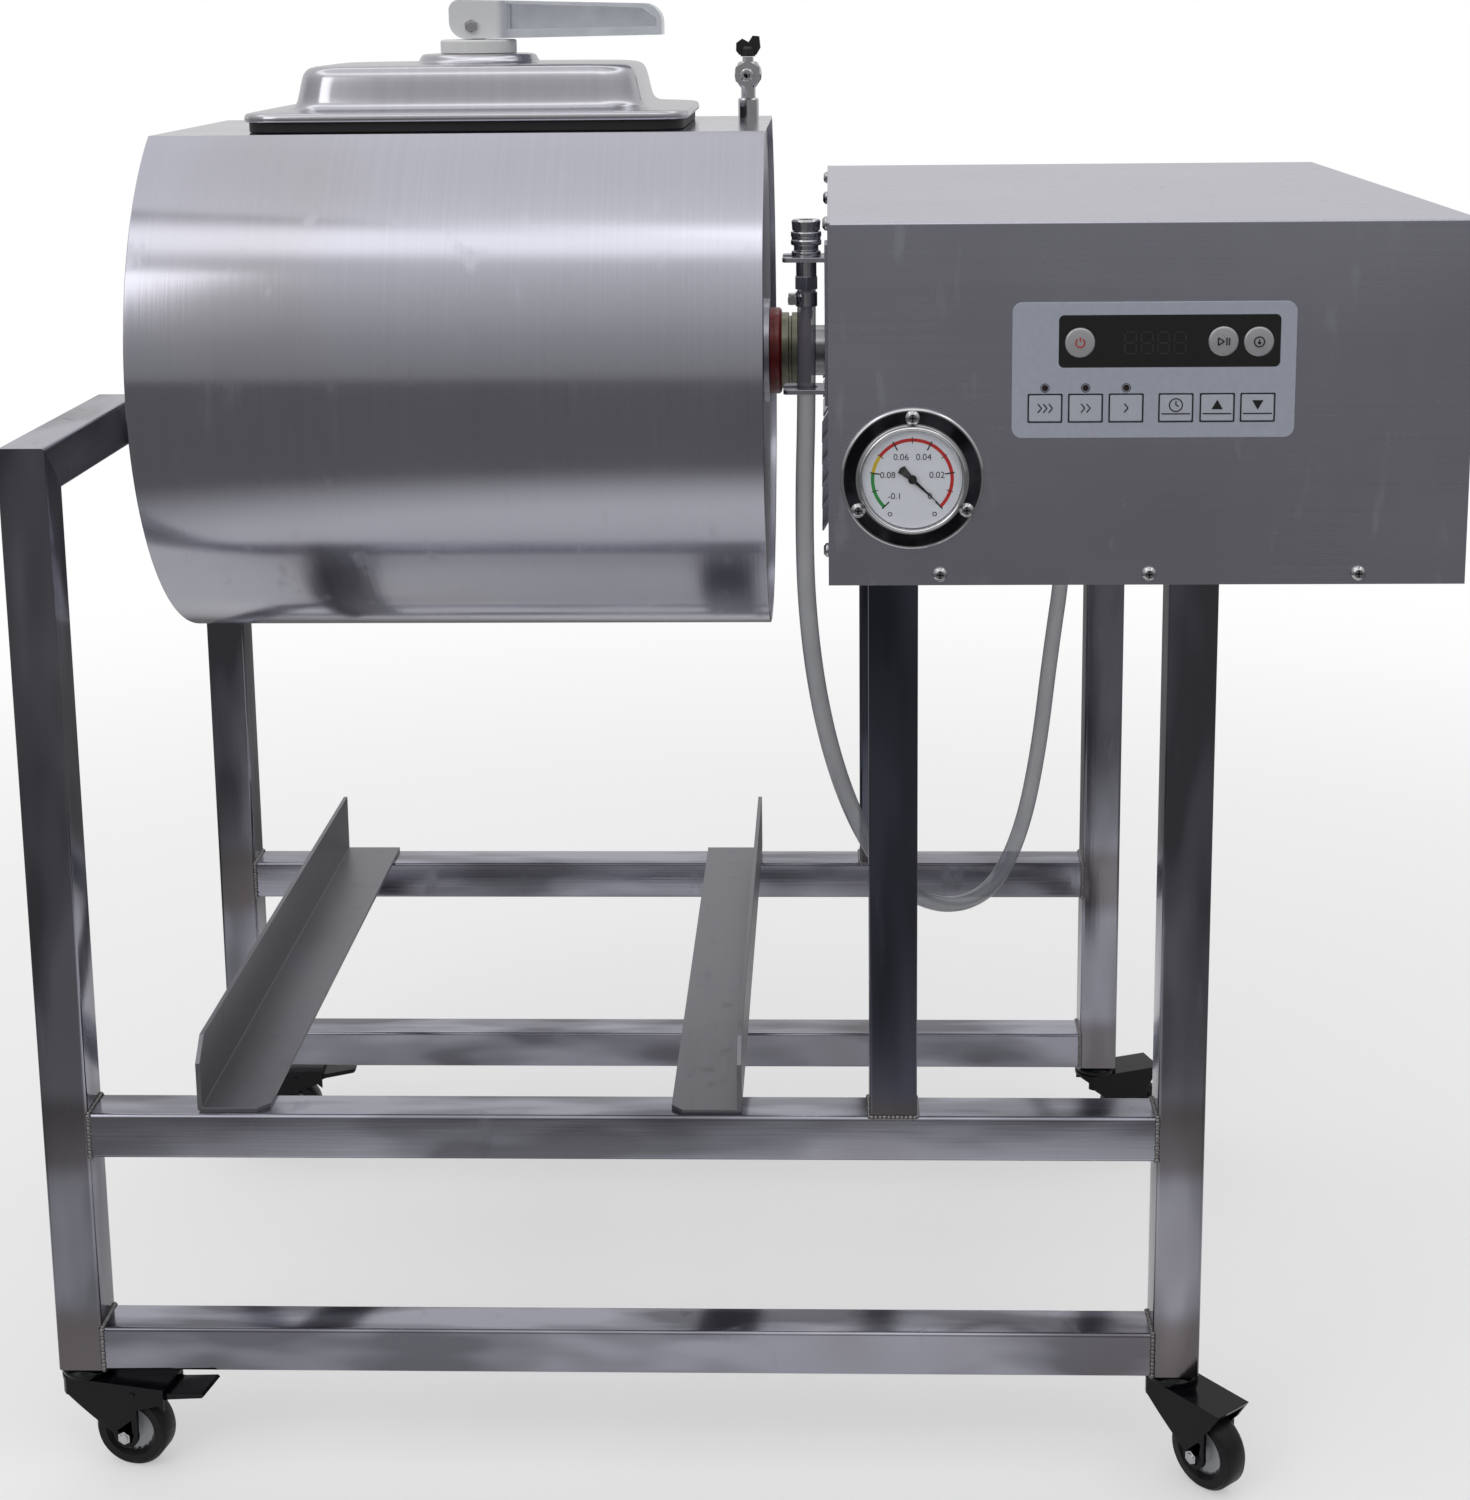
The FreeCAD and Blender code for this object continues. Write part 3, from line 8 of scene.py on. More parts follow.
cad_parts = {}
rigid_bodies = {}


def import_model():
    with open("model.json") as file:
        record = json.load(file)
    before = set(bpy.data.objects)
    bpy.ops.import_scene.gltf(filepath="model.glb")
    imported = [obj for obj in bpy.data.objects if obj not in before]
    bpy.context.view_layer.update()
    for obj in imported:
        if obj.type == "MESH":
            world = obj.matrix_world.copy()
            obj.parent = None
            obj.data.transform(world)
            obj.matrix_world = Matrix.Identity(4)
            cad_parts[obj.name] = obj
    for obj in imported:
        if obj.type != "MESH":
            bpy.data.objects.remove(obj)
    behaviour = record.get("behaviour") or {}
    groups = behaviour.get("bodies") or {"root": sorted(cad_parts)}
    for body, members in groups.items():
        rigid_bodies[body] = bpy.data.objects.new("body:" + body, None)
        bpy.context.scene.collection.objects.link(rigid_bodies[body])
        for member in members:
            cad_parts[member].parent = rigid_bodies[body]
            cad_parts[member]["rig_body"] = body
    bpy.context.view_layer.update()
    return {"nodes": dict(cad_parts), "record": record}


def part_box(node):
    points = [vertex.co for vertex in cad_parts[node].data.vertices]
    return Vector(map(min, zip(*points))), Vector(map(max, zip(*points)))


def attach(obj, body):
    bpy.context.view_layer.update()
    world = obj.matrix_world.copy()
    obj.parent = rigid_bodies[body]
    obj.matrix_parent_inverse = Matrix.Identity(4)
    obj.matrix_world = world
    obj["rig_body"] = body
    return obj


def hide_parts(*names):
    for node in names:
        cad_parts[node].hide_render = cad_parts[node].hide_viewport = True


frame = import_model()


# The studio. A pale floor that runs out into a white room, with a broad lamp over the machine
# and one at its left front. The room has soft bright and dark zones one above the other, and
# these are what the brushed steel mirrors as level bands.

class Wire:
    """An output in a node tree. Sums and products of wires add Math nodes to the tree."""

    def __init__(self, tree, socket=None):
        self.tree = tree
        self.socket = socket

    def node(self, kind, settings=None, sockets=None, out=0):
        """Adds any node: its settings first, then its sockets' values or links."""
        made = self.tree.nodes.new("ShaderNode" + kind)
        for key, value in (settings or {}).items():
            if key == "stops":
                bands = made.color_ramp.elements
                while len(bands) < len(value):
                    bands.new(0.5)
                for band, (place, colour) in zip(bands, value):
                    band.position = place
                    band.color = colour
            else:
                setattr(made, key, value)
        for key, value in (sockets or {}).items():
            if isinstance(value, Wire):
                self.tree.links.new(value.socket, made.inputs[key])
            else:
                made.inputs[key].default_value = value
        return Wire(self.tree, made.outputs[out])

    def math(self, operation, first, second):
        return self.node("Math", {"operation": operation}, {0: first, 1: second})

    def __add__(self, other):
        return self.math("ADD", self, other)

    def __sub__(self, other):
        return self.math("SUBTRACT", self, other)

    def __rsub__(self, other):
        return self.math("SUBTRACT", other, self)

    def __mul__(self, other):
        return self.math("MULTIPLY", self, other)

    def above(self, low, high):
        """0 below low, 1 over high, a smooth step between them."""
        return self.node("MapRange", {"interpolation_type": "SMOOTHSTEP"},
                         {"Value": self, "From Min": low, "From Max": high})

    def greater(self, other):
        return self.math("MAXIMUM", self, other)

    def blend(self, low, high):
        """A colour between low and high, with this wire as the factor."""
        return self.node("Mix", {"data_type": "RGBA"}, {0: self, 6: low, 7: high}, out=2)

    __radd__ = __add__
    __rmul__ = __mul__


def grey(level):
    return (level, level, level, 1.0)


def opaque(colour):
    return (*colour, 1.0)


def studio_world():
    """A white wall behind the machine, and level zones from a bright cove to a dim horizon."""
    world = bpy.data.worlds.new("studio")
    world.use_nodes = True
    tree = world.node_tree
    blank = Wire(tree)
    direction = blank.node("TexCoord", out="Generated")
    depth = direction.node("SeparateXYZ", None, {"Vector": direction}, out="Y")
    height = direction.node("SeparateXYZ", None, {"Vector": direction}, out="Z")
    bands = height.node("MapRange", None, {"Value": height, "From Min": -1.0, "From Max": 1.0})
    room = bands.node("ValToRGB", {"stops": [
        (0.00, grey(0.30)), (0.42, grey(0.28)), (0.50, grey(0.32)), (0.62, grey(0.42)),
        (0.75, grey(0.62)), (0.85, grey(0.80)), (0.88, grey(1.6)), (0.915, grey(1.6)),
        (0.94, grey(0.52)), (1.00, grey(0.40))]}, {"Fac": bands})
    backdrop = depth.above(0.1, 0.6) * (1 - height.above(0.45, 0.8))
    room = backdrop.blend(room, grey(0.72))
    camera_ray = blank.node("LightPath", out="Is Camera Ray")
    through_ray = blank.node("LightPath", out="Is Transmission Ray")
    colour = camera_ray.greater(through_ray).blend(room, grey(1.0))
    tree.links.new(colour.socket, tree.nodes["Background"].inputs["Color"])
    bpy.context.scene.world = world


def add_lamp(name, place, aim, size, power):
    lamp = bpy.data.lights.new(name, "AREA")
    lamp.shape = "RECTANGLE"
    lamp.size, lamp.size_y = size
    lamp.energy = power
    holder = bpy.data.objects.new(name, lamp)
    holder.location = place
    holder.rotation_euler = (Vector(aim) - Vector(place)).to_track_quat("-Z", "Y").to_euler()
    bpy.context.scene.collection.objects.link(holder)


def add_floor():
    """A wide disc, matt and pale near the machine. Further out it is plain white to look at, and
    dim where metal mirrors it."""
    mesh = bmesh.new()
    bmesh.ops.create_circle(mesh, cap_ends=True, segments=96, radius=14.0)
    floor = bpy.data.objects.new("floor", bpy.data.meshes.new("floor"))
    mesh.to_mesh(floor.data)
    bpy.context.scene.collection.objects.link(floor)
    material = bpy.data.materials.new("floor")
    material.use_nodes = True
    tree = material.node_tree
    shader = tree.nodes["Principled BSDF"]
    shader.inputs["Base Color"].default_value = grey(0.88)
    shader.inputs["Roughness"].default_value = 0.9
    shader.inputs["Specular IOR Level"].default_value = 0.0
    blank = Wire(tree)
    place = blank.node("TexCoord", out="Object")
    reach = place.node("VectorMath", {"operation": "LENGTH"}, {0: place}, out="Value")
    camera_ray = blank.node("LightPath", out="Is Camera Ray")
    white = blank.node("Emission", None, {"Color": grey(1.0), "Strength": 1.0})
    dim = blank.node("Emission", None, {"Color": grey(0.15), "Strength": 1.0})
    far = blank.node("MixShader", None, {0: camera_ray, 1: dim, 2: white})
    near = blank.node("MixShader", None, {0: camera_ray * 0.4, 1: Wire(tree, shader.outputs["BSDF"]),
                                          2: white})
    edge = camera_ray * reach.above(0.9, 2.4) + (1 - camera_ray) * reach.above(0.5, 1.0)
    both = blank.node("MixShader", None, {0: edge, 1: near, 2: far})
    tree.links.new(both.socket, tree.nodes["Material Output"].inputs["Surface"])
    floor.data.materials.append(material)


bpy.context.scene.view_settings.view_transform = "Standard"
studio_world()
add_floor()
add_lamp("ceiling_lamp", (-0.2, -0.3, 2.6), (0.0, 0.0, 0.5), (2.2, 1.6), 5.5)
add_lamp("front_lamp", (-1.7, -2.2, 2.0), (0.0, 0.0, 0.5), (1.2, 1.4), 8.0)

camera_data = bpy.data.cameras.new("camera")
camera_data.lens = 57.46
camera_data.shift_x = -0.0182
camera_data.shift_y = -0.2
camera = bpy.data.objects.new("camera", camera_data)
camera.location = (0.0656, -1.6396, 0.9384)
camera.rotation_euler = [math.radians(angle) for angle in (79.392, 0.553, 1.565)]
bpy.context.scene.collection.objects.link(camera)
bpy.context.scene.camera = camera


# The vacuum hose. Clear soft PVC, 12 mm outside, pushed on the coupler's barbed stem at one end
# and on the outlet under the box at the other, and left to hang between them.

def new_finish(name, **fixed):
    """A material with values set on its shader. Returns it, its shader and a blank wire."""
    material = bpy.data.materials.new(name)
    material.use_nodes = True
    shader = material.node_tree.nodes["Principled BSDF"]
    for key, value in fixed.items():
        shader.inputs[key.replace("_", " ")].default_value = value
    return material, shader, Wire(material.node_tree)


def feed(shader, **wires):
    """Joins wires to the shader's sockets."""
    for key, wire in wires.items():
        wire.tree.links.new(wire.socket, shader.inputs[key.replace("_", " ")])


def noise(place, scale, detail=2.0, stretch=(1.0, 1.0, 1.0)):
    """A noise from 0 to 1 on object coordinates, stretched along the axes."""
    placed = place.node("Mapping", None, {"Vector": place, "Scale": stretch})
    return place.node("TexNoise", None, {"Vector": placed, "Scale": scale, "Detail": detail})


def bump(height, strength, distance):
    return height.node("Bump", None, {"Strength": strength, "Distance": distance,
                                      "Height": height}, out="Normal")


def clear_hose():
    material, shader, blank = new_finish("clear_pvc", IOR=1.38, Coat_Weight=0.4, Coat_Roughness=0.06)
    facing = blank.node("LayerWeight", None, {"Blend": 0.35}, out="Facing")
    place = blank.node("TexCoord", out="Object")
    haze = noise(place, 40.0, 3.0)
    feed(shader,
         Base_Color=facing.above(0.15, 0.9).blend(opaque((0.30, 0.31, 0.35)),
                                                   opaque((0.12, 0.13, 0.16))),
         Alpha=0.60 + facing * 0.32 + (haze - 0.5) * 0.1,
         Roughness=0.10 + haze * 0.10)
    return material


def dress(piece, material, *nodes, body=None):
    """Gives a piece its finish and body, and lets it stand for CAD nodes."""
    if piece.name not in bpy.context.scene.collection.objects:
        bpy.context.scene.collection.objects.link(piece)
    piece.data.materials.append(material)
    if nodes:
        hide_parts(*nodes)
        body = body or frame["nodes"][nodes[0]]["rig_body"]
    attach(piece, body)
    return piece


HOSE_RADIUS = 0.006
LEFT_LEG_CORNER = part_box("left_legs")[0]
SHIFT = Vector((LEFT_LEG_CORNER.x, LEFT_LEG_CORNER.y, 0.0))
HOSE_POINTS = [
    (0.4895, 0.1100, 0.7586), (0.4894, 0.1098, 0.6900), (0.4870, 0.1065, 0.6150),
    (0.4885, 0.1085, 0.5450), (0.4970, 0.1210, 0.4750), (0.5130, 0.1460, 0.4080),
    (0.5360, 0.1790, 0.3500), (0.5640, 0.2210, 0.3060), (0.5970, 0.2700, 0.2810),
    (0.6270, 0.3150, 0.2790), (0.6500, 0.3490, 0.3120), (0.6640, 0.3710, 0.3700),
    (0.6730, 0.3840, 0.4420), (0.6850, 0.4020, 0.5160), (0.6850, 0.4020, 0.5900),
]

curve = bpy.data.curves.new("hose_tube", "CURVE")
curve.dimensions = "3D"
curve.bevel_depth = HOSE_RADIUS
curve.bevel_resolution = 8
curve.resolution_u = 12
spline = curve.splines.new("NURBS")
spline.points.add(len(HOSE_POINTS) - 1)
for point, place in zip(spline.points, HOSE_POINTS):
    point.co = (*(Vector(place) + SHIFT), 1.0)
spline.order_u = 3
spline.use_endpoint_u = True
hose = bpy.data.objects.new("hose_tube", curve)
dress(hose, clear_hose(), "hose")


# The welded frame. 30 mm square stainless tube in mill finish, dull and a little brown round
# the welds, cut square and MIG welded at every joint.

def add_piece(name, mesh, ease=0.0, smooth=True, sharp=32.0):
    """Turns a bmesh into an object, its edges eased and its faces smooth between creases."""
    piece = bpy.data.objects.new(name, bpy.data.meshes.new(name))
    mesh.to_mesh(piece.data)
    mesh.free()
    bpy.context.scene.collection.objects.link(piece)
    if smooth:
        piece.data.shade_smooth()
        if not ease:
            piece.data.set_sharp_from_angle(angle=math.radians(sharp))
    if ease:
        easing = piece.modifiers.new("eased_edges", "BEVEL")
        easing.width = ease
        easing.segments = 2
        easing.limit_method = "ANGLE"
        easing.angle_limit = math.radians(sharp)
        flatten = piece.modifiers.new("flat_faces", "WEIGHTED_NORMAL")
        flatten.keep_sharp = True
        flatten.weight = 100
    return piece


def clean_copy(name, node, ease=0.0, sharp=32.0):
    """A CAD node as one smooth skin: doubles merged and flat faces joined up again."""
    mesh = bmesh.new()
    mesh.from_mesh(frame["nodes"][node].data)
    bmesh.ops.remove_doubles(mesh, verts=mesh.verts, dist=2e-6)
    bmesh.ops.dissolve_limit(mesh, angle_limit=math.radians(0.6), verts=mesh.verts,
                             edges=mesh.edges)
    mesh.faces.ensure_lookup_table()
    return add_piece(name, mesh, ease, sharp=sharp)


def near_level(place, axis, level, low, high):
    """1 within low of a level along an axis, fading to 0 at high."""
    away = place.node("SeparateXYZ", None, {"Vector": place}, out=axis) - level
    return 1 - away.math("ABSOLUTE", away, 0.0).above(low, high)


def steel(name, tint, roughness, lines, depth=0.1, clouds=0.5, stain=None, marks=0.0,
          heated=(), seam=None, streak=1.0, patches=None):
    """Stainless steel. lines says how close the brush lines are along X, Y and Z, heated lists
    the heights or places where a weld has tinted it, seam the height of a welded seam, streak
    how strong the brush lines are, and patches the stretch of its darker and brighter parts."""
    material, shader, blank = new_finish(name, Metallic=1.0)
    place = blank.node("TexCoord", out="Object")
    brush = noise(place, 1.0, 3.0, lines)
    cloud = noise(place, 9.0, 3.0)
    scuff = noise(place, 60.0, 4.0, (1.0, 1.0, 0.25)).above(0.60, 0.75)
    dark = opaque([c * (1.0 - 0.2 * streak) for c in tint])
    colour = (0.5 * brush + cloud * clouds).above(0.25, 0.75).blend(dark, opaque(tint))
    if patches:
        patch = noise(place, 1.0, 2.0, patches)
        colour = (patch.above(0.46, 0.62) * 0.8).blend(colour, opaque([c * 1.6 for c in tint]))
        colour = ((1 - patch.above(0.36, 0.48)) * 0.7).blend(colour, opaque([c * 0.45 for c in tint]))
    if stain:
        heat = noise(place, 5.0, 2.0).above(0.56, 0.74)
        colour = (heat * 0.35).blend(colour, opaque(stain))
        for axis, level in heated:
            halo = near_level(place, axis, level, 0.016, 0.034)
            colour = (halo * (0.25 + cloud * 0.7)).blend(colour, opaque(stain))
    if seam:
        colour = (near_level(place, "Z", seam, 0.0003, 0.0008) * 0.6).blend(colour, opaque(dark[:3]))
    feed(shader, Base_Color=colour,
         Roughness=roughness - 0.06 + brush * (0.10 * streak) + (cloud - 0.5) * 0.14
         + scuff * marks,
         Normal=bump(brush, depth, 0.0004))
    return material


MILL_TINT = (0.29, 0.29, 0.335)
HEAT_TINT = (0.15, 0.125, 0.115)
RAIL_CENTRES = (0.0835, 0.2315)
rail_heights = [("Z", height) for height in RAIL_CENTRES]
mill_upright = steel("mill_tube_upright", MILL_TINT, 0.17, (500.0, 500.0, 14.0), 0.08,
                     0.9, HEAT_TINT, 0.15, rail_heights, None, 0.6, (22.0, 22.0, 5.0))
# The middle legs get a darker copy of the mill tube: painted shade for the shadow under the box, not
# a different steel.
mill_shaded_copy = steel("mill_tube_painted_shade", (0.11, 0.115, 0.15), 0.18, (500.0, 500.0, 14.0), 0.08,
                  0.9, HEAT_TINT, 0.15, rail_heights, None, 0.6, (22.0, 22.0, 4.0))
mill_level = steel("mill_tube_level", MILL_TINT, 0.17, (14.0, 500.0, 500.0), 0.08,
                   0.9, HEAT_TINT, 0.15, (), None, 0.6, (7.0, 40.0, 26.0))
mill_arm = steel("mill_tube_arm", MILL_TINT, 0.24, (500.0, 14.0, 500.0), 0.08,
                 0.9, HEAT_TINT, 0.15, (), None, 0.6, (26.0, 7.0, 26.0))
dress(clean_copy("left_legs_tube", "left_legs"), mill_upright, "left_legs")
dress(clean_copy("right_legs_tube", "right_legs"), mill_upright, "right_legs")
dress(clean_copy("middle_legs_tube", "middle_legs"), mill_shaded_copy, "middle_legs")
dress(clean_copy("cross_rails_tube", "cross_rails"), mill_level, "cross_rails")
dress(clean_copy("support_arms_tube", "support_arms"), mill_arm, "support_arms")


# The weld beads. A row of overlapped puddles round each end of a cross rail, and round the foot
# of each middle leg, left as welded.

BEAD = 0.0019
BEAD_STEP = 0.0026


def loose_boxes(node):
    """The lowest and highest corners of each loose solid in a CAD node."""
    mesh = bmesh.new()
    mesh.from_mesh(frame["nodes"][node].data)
    bmesh.ops.remove_doubles(mesh, verts=mesh.verts, dist=2e-6)
    boxes = []
    for start in mesh.verts:
        if start.tag:
            continue
        start.tag = True
        reached = [start]
        for vert in reached:
            for edge in vert.link_edges:
                other = edge.other_vert(vert)
                if not other.tag:
                    other.tag = True
                    reached.append(other)
        sides = [[vert.co[axis] for vert in reached] for axis in range(3)]
        boxes.append((Vector(map(min, sides)), Vector(map(max, sides))))
    mesh.free()
    return boxes


def weld_round(mesh, low, high, axis, level):
    """Beads round a tube's end, on the level plane across the axis."""
    first, second = [other for other in range(3) if other != axis]
    corners = []
    for a, b in ((low, low), (high, low), (high, high), (low, high)):
        corner = Vector((0.0, 0.0, 0.0))
        corner[axis] = level
        corner[first] = a[first]
        corner[second] = b[second]
        corners.append(corner)
    for start, end in zip(corners, corners[1:] + corners[:1]):
        count = int((end - start).length / BEAD_STEP)
        for step in range(count):
            swell = 1.0 + 0.12 * math.sin(step * 2.1 + start.x * 90.0)
            place = Matrix.Translation(start.lerp(end, (step + 0.5) / count))
            bmesh.ops.create_icosphere(mesh, subdivisions=1, radius=BEAD * swell, matrix=place)


beads = bmesh.new()
for rail_low, rail_high in loose_boxes("cross_rails"):
    if rail_high.x - rail_low.x > rail_high.y - rail_low.y:
        weld_round(beads, rail_low, rail_high, 0, rail_low.x)
        weld_round(beads, rail_low, rail_high, 0, rail_high.x)
for leg_low, leg_high in loose_boxes("middle_legs"):
    weld_round(beads, leg_low, leg_high, 2, leg_low.z)
bead_steel = steel("weld_bead", (0.26, 0.25, 0.25), 0.32, (300.0, 300.0, 300.0), 0.3, 0.9,
                   (0.10, 0.08, 0.07), 0.2)
weld_beads = add_piece("weld_beads", beads, sharp=80.0)
dress(weld_beads, bead_steel, body="frame")


# The angle rails for the tub. Two strips of 3 mm sheet folded to an L, darker than the tube,
# laid across the frame and tacked at their ends.

rail_sheet = steel("rail_sheet", (0.24, 0.24, 0.26), 0.42, (300.0, 10.0, 300.0), 0.10, 0.9,
                   (0.26, 0.22, 0.19), 0.1)
dress(clean_copy("tub_rails_sheet", "tub_rails", 0.0003), rail_sheet, "tub_rails")
dress(clean_copy("bearing_plate_sheet", "bearing_plate", 0.0004), rail_sheet, "bearing_plate")


# The flange bearing. A cast iron housing with a turned sleeve, held to the plate on the arms by
# two bolts, in which the drum's left axle turns.

def painted(name, tint, roughness=0.4, speckle=0.12, scale=300.0, depth=0.08, **fixed):
    """Paint or moulded plastic: an almost even colour with a fine skin."""
    material, shader, blank = new_finish(name, **fixed)
    place = blank.node("TexCoord", out="Object")
    skin = noise(place, scale, 3.0)
    cloud = noise(place, 14.0, 2.0)
    dark = opaque([c * (1.0 - speckle) for c in tint])
    feed(shader, Base_Color=(0.5 * skin + 0.5 * cloud).above(0.3, 0.7).blend(dark, opaque(tint)),
         Roughness=roughness - 0.05 + skin * 0.10 + (cloud - 0.5) * 0.1,
         Normal=bump(skin, depth, 0.0003))
    return material


cast_iron = painted("bearing_iron", (0.16, 0.17, 0.19), 0.5, 0.3, 500.0, 0.3, Metallic=0.6)
dress(clean_copy("left_bearing_casting", "left_bearing", 0.0005), cast_iron, "left_bearing")


# The drum. 2 mm stainless rolled to a cylinder with a flat on top, brushed round its girth,
# with an end disc set in at each side and three folded fins welded inside.

DRUM_SEAM = 0.617
drum_satin = steel("drum_satin", (0.52, 0.52, 0.59), 0.19, (700.0, 5.0, 5.0), 0.03, 0.35,
                   (0.43, 0.41, 0.40), 0.12, (), DRUM_SEAM, 0.35)
disc_satin = steel("disc_satin", (0.50, 0.50, 0.55), 0.33, (5.0, 400.0, 400.0), 0.06, 0.5)
dress(clean_copy("drum_shell_sheet", "drum_shell", 0.0006), drum_satin, "drum_shell")
for node in ("drum_left_end", "drum_right_end", "drum_baffles"):
    dress(clean_copy(node + "_sheet", node, 0.0004), disc_satin, node)


# The drive coupling. Red discs bolted on each side of a zinc-plated ring, on a turned steel shaft
# from the gear motor.

DISC_LEFT = 0.008
DISC_RIGHT = 0.007
PAINT_EDGE = 0.0001


def hub_finish():
    """Glossy red on the two discs, and dull olive zinc on the ring between them."""
    material, shader, blank = new_finish("hub_red_and_zinc", Coat_Weight=0.3)
    place = blank.node("TexCoord", out="Object")
    low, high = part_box("drive_hub")
    along = place.node("SeparateXYZ", None, {"Vector": place}, out="X")
    left = low.x + DISC_LEFT
    right = high.x - DISC_RIGHT
    ring = along.above(left - PAINT_EDGE, left + PAINT_EDGE)
    ring = ring * (1 - along.above(right - PAINT_EDGE, right + PAINT_EDGE))
    wear = noise(place, 120.0, 3.0)
    red = wear.above(0.3, 0.7).blend(opaque((0.24, 0.008, 0.008)), opaque((0.42, 0.016, 0.014)))
    zinc = wear.above(0.3, 0.7).blend(opaque((0.22, 0.21, 0.15)), opaque((0.34, 0.33, 0.25)))
    feed(shader, Base_Color=ring.blend(red, zinc), Metallic=ring * 0.9,
         Roughness=0.30 + ring * 0.12 + wear * 0.08)
    return material


red_paint = hub_finish()
turned_steel = steel("turned_steel", (0.42, 0.42, 0.43), 0.3, (900.0, 10.0, 10.0), 0.1)
dress(clean_copy("drive_hub_discs", "drive_hub", 0.0004), red_paint, "drive_hub")
dress(clean_copy("drive_shaft_turned", "drive_shaft", 0.0004), turned_steel, "drive_shaft")


# The ball valve. Chromed brass, screwed on a stainless socket that is welded to the drum, with a
# black moulded wing handle.

chrome = steel("bright_plate", (0.66, 0.66, 0.68), 0.12, (60.0, 60.0, 60.0), 0.02, 0.3)
black_plastic = painted("black_plastic", (0.010, 0.010, 0.012), 0.36, 0.3)
dress(clean_copy("valve_body_chrome", "valve_body", 0.0003), chrome, "valve_body")
dress(clean_copy("valve_handle_wing", "valve_handle", 0.0006), black_plastic, "valve_handle")


# The lid. One sheet of 1.2 mm stainless pressed to a rolled flange, a soft-edged dome and a
# round boss, over a black rubber seal.

def rounded_ring(mesh, centre, length, width, radius, z, segments=8):
    """A level rectangle of edges with rounded corners. Returns its edges."""
    made = bmesh.ops.create_grid(mesh, x_segments=1, y_segments=1, size=0.5)
    bmesh.ops.scale(mesh, vec=(length, width, 1.0), verts=made["verts"])
    bmesh.ops.translate(mesh, vec=(centre[0], centre[1], z), verts=made["verts"])
    rounded = bmesh.ops.bevel(mesh, geom=made["verts"], offset=radius, offset_type="OFFSET",
                              affect="VERTICES", segments=segments, profile=0.5, material=-1,
                              clamp_overlap=True)
    verts = set(rounded["verts"])
    faces = [face for face in mesh.faces if set(face.verts) <= verts]
    edges = [edge for face in faces for edge in face.edges]
    bmesh.ops.delete(mesh, geom=faces, context="FACES_ONLY")
    return edges


def pressed_lid():
    low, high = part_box("lid_pan")
    centre = (low + high) / 2
    boss = 0.041
    mesh = bmesh.new()
    # length, width, corner radius and height above the rim of each level line of the pressing
    lines = [(0.2905, 0.1795, 0.0230, 0.0000), (0.2930, 0.1820, 0.0240, 0.0012),
             (0.2930, 0.1820, 0.0240, 0.0036), (0.2915, 0.1805, 0.0235, 0.0054),
             (0.2880, 0.1770, 0.0230, 0.0063), (0.2700, 0.1665, 0.0240, 0.0068),
             (0.2450, 0.1570, 0.0260, 0.0074), (0.2360, 0.1535, 0.0270, 0.0084),
             (0.2310, 0.1500, 0.0265, 0.0108), (0.2285, 0.1475, 0.0260, 0.0150),
             (0.2240, 0.1430, 0.0250, 0.0260), (0.2215, 0.1405, 0.0245, 0.0305),
             (0.2170, 0.1360, 0.0235, 0.0337), (0.2090, 0.1280, 0.0225, 0.0354),
             (0.1900, 0.1180, 0.0240, 0.0359), (0.1200, 0.1000, 0.0400, 0.0361),
             (0.0880, 0.0880, 0.0439, 0.0362), (2 * boss, 2 * boss, boss - 1e-4, 0.0368),
             (0.0800, 0.0800, 0.0399, 0.0392), (0.0780, 0.0780, 0.0389, 0.0412),
             (0.0740, 0.0740, 0.0369, 0.0421), (0.0600, 0.0600, 0.0299, 0.0422),
             (0.0104, 0.0104, 0.0051, 0.0422)]
    rings = [rounded_ring(mesh, centre, *line[:3], low.z + line[3]) for line in lines]
    for lower, upper in zip(rings, rings[1:]):
        bmesh.ops.bridge_loops(mesh, edges=lower + upper)
    bmesh.ops.recalc_face_normals(mesh, faces=mesh.faces)
    lid = add_piece("lid_pressing", mesh, sharp=80.0)
    wall = lid.modifiers.new("sheet", "SOLIDIFY")
    wall.thickness = 0.0012
    wall.offset = -1.0
    soften = lid.modifiers.new("soft", "SUBSURF")
    soften.levels = soften.render_levels = 1
    return lid


lid_satin = steel("lid_satin", (0.55, 0.55, 0.59), 0.24, (220.0, 12.0, 12.0), 0.02, 0.3,
                  streak=0.4)
dress(pressed_lid(), lid_satin, "lid_pan")
seal_rubber = painted("seal_rubber", (0.012, 0.012, 0.013), 0.6, 0.3)
dress(clean_copy("lid_gasket_rubber", "lid_gasket", 0.0008), seal_rubber, "lid_gasket")


# The lid's clamp. A white plastic seat ring, a stainless draw rod with a bar under the mouth,
# and a clear-milky moulded cam lever on a hex bolt.

white_plastic = painted("white_plastic", (0.80, 0.80, 0.80), 0.4, 0.05, Subsurface_Weight=0.1)
WHITE_BLOCK_END = 0.016
CLEAR_ARM_START = 0.024


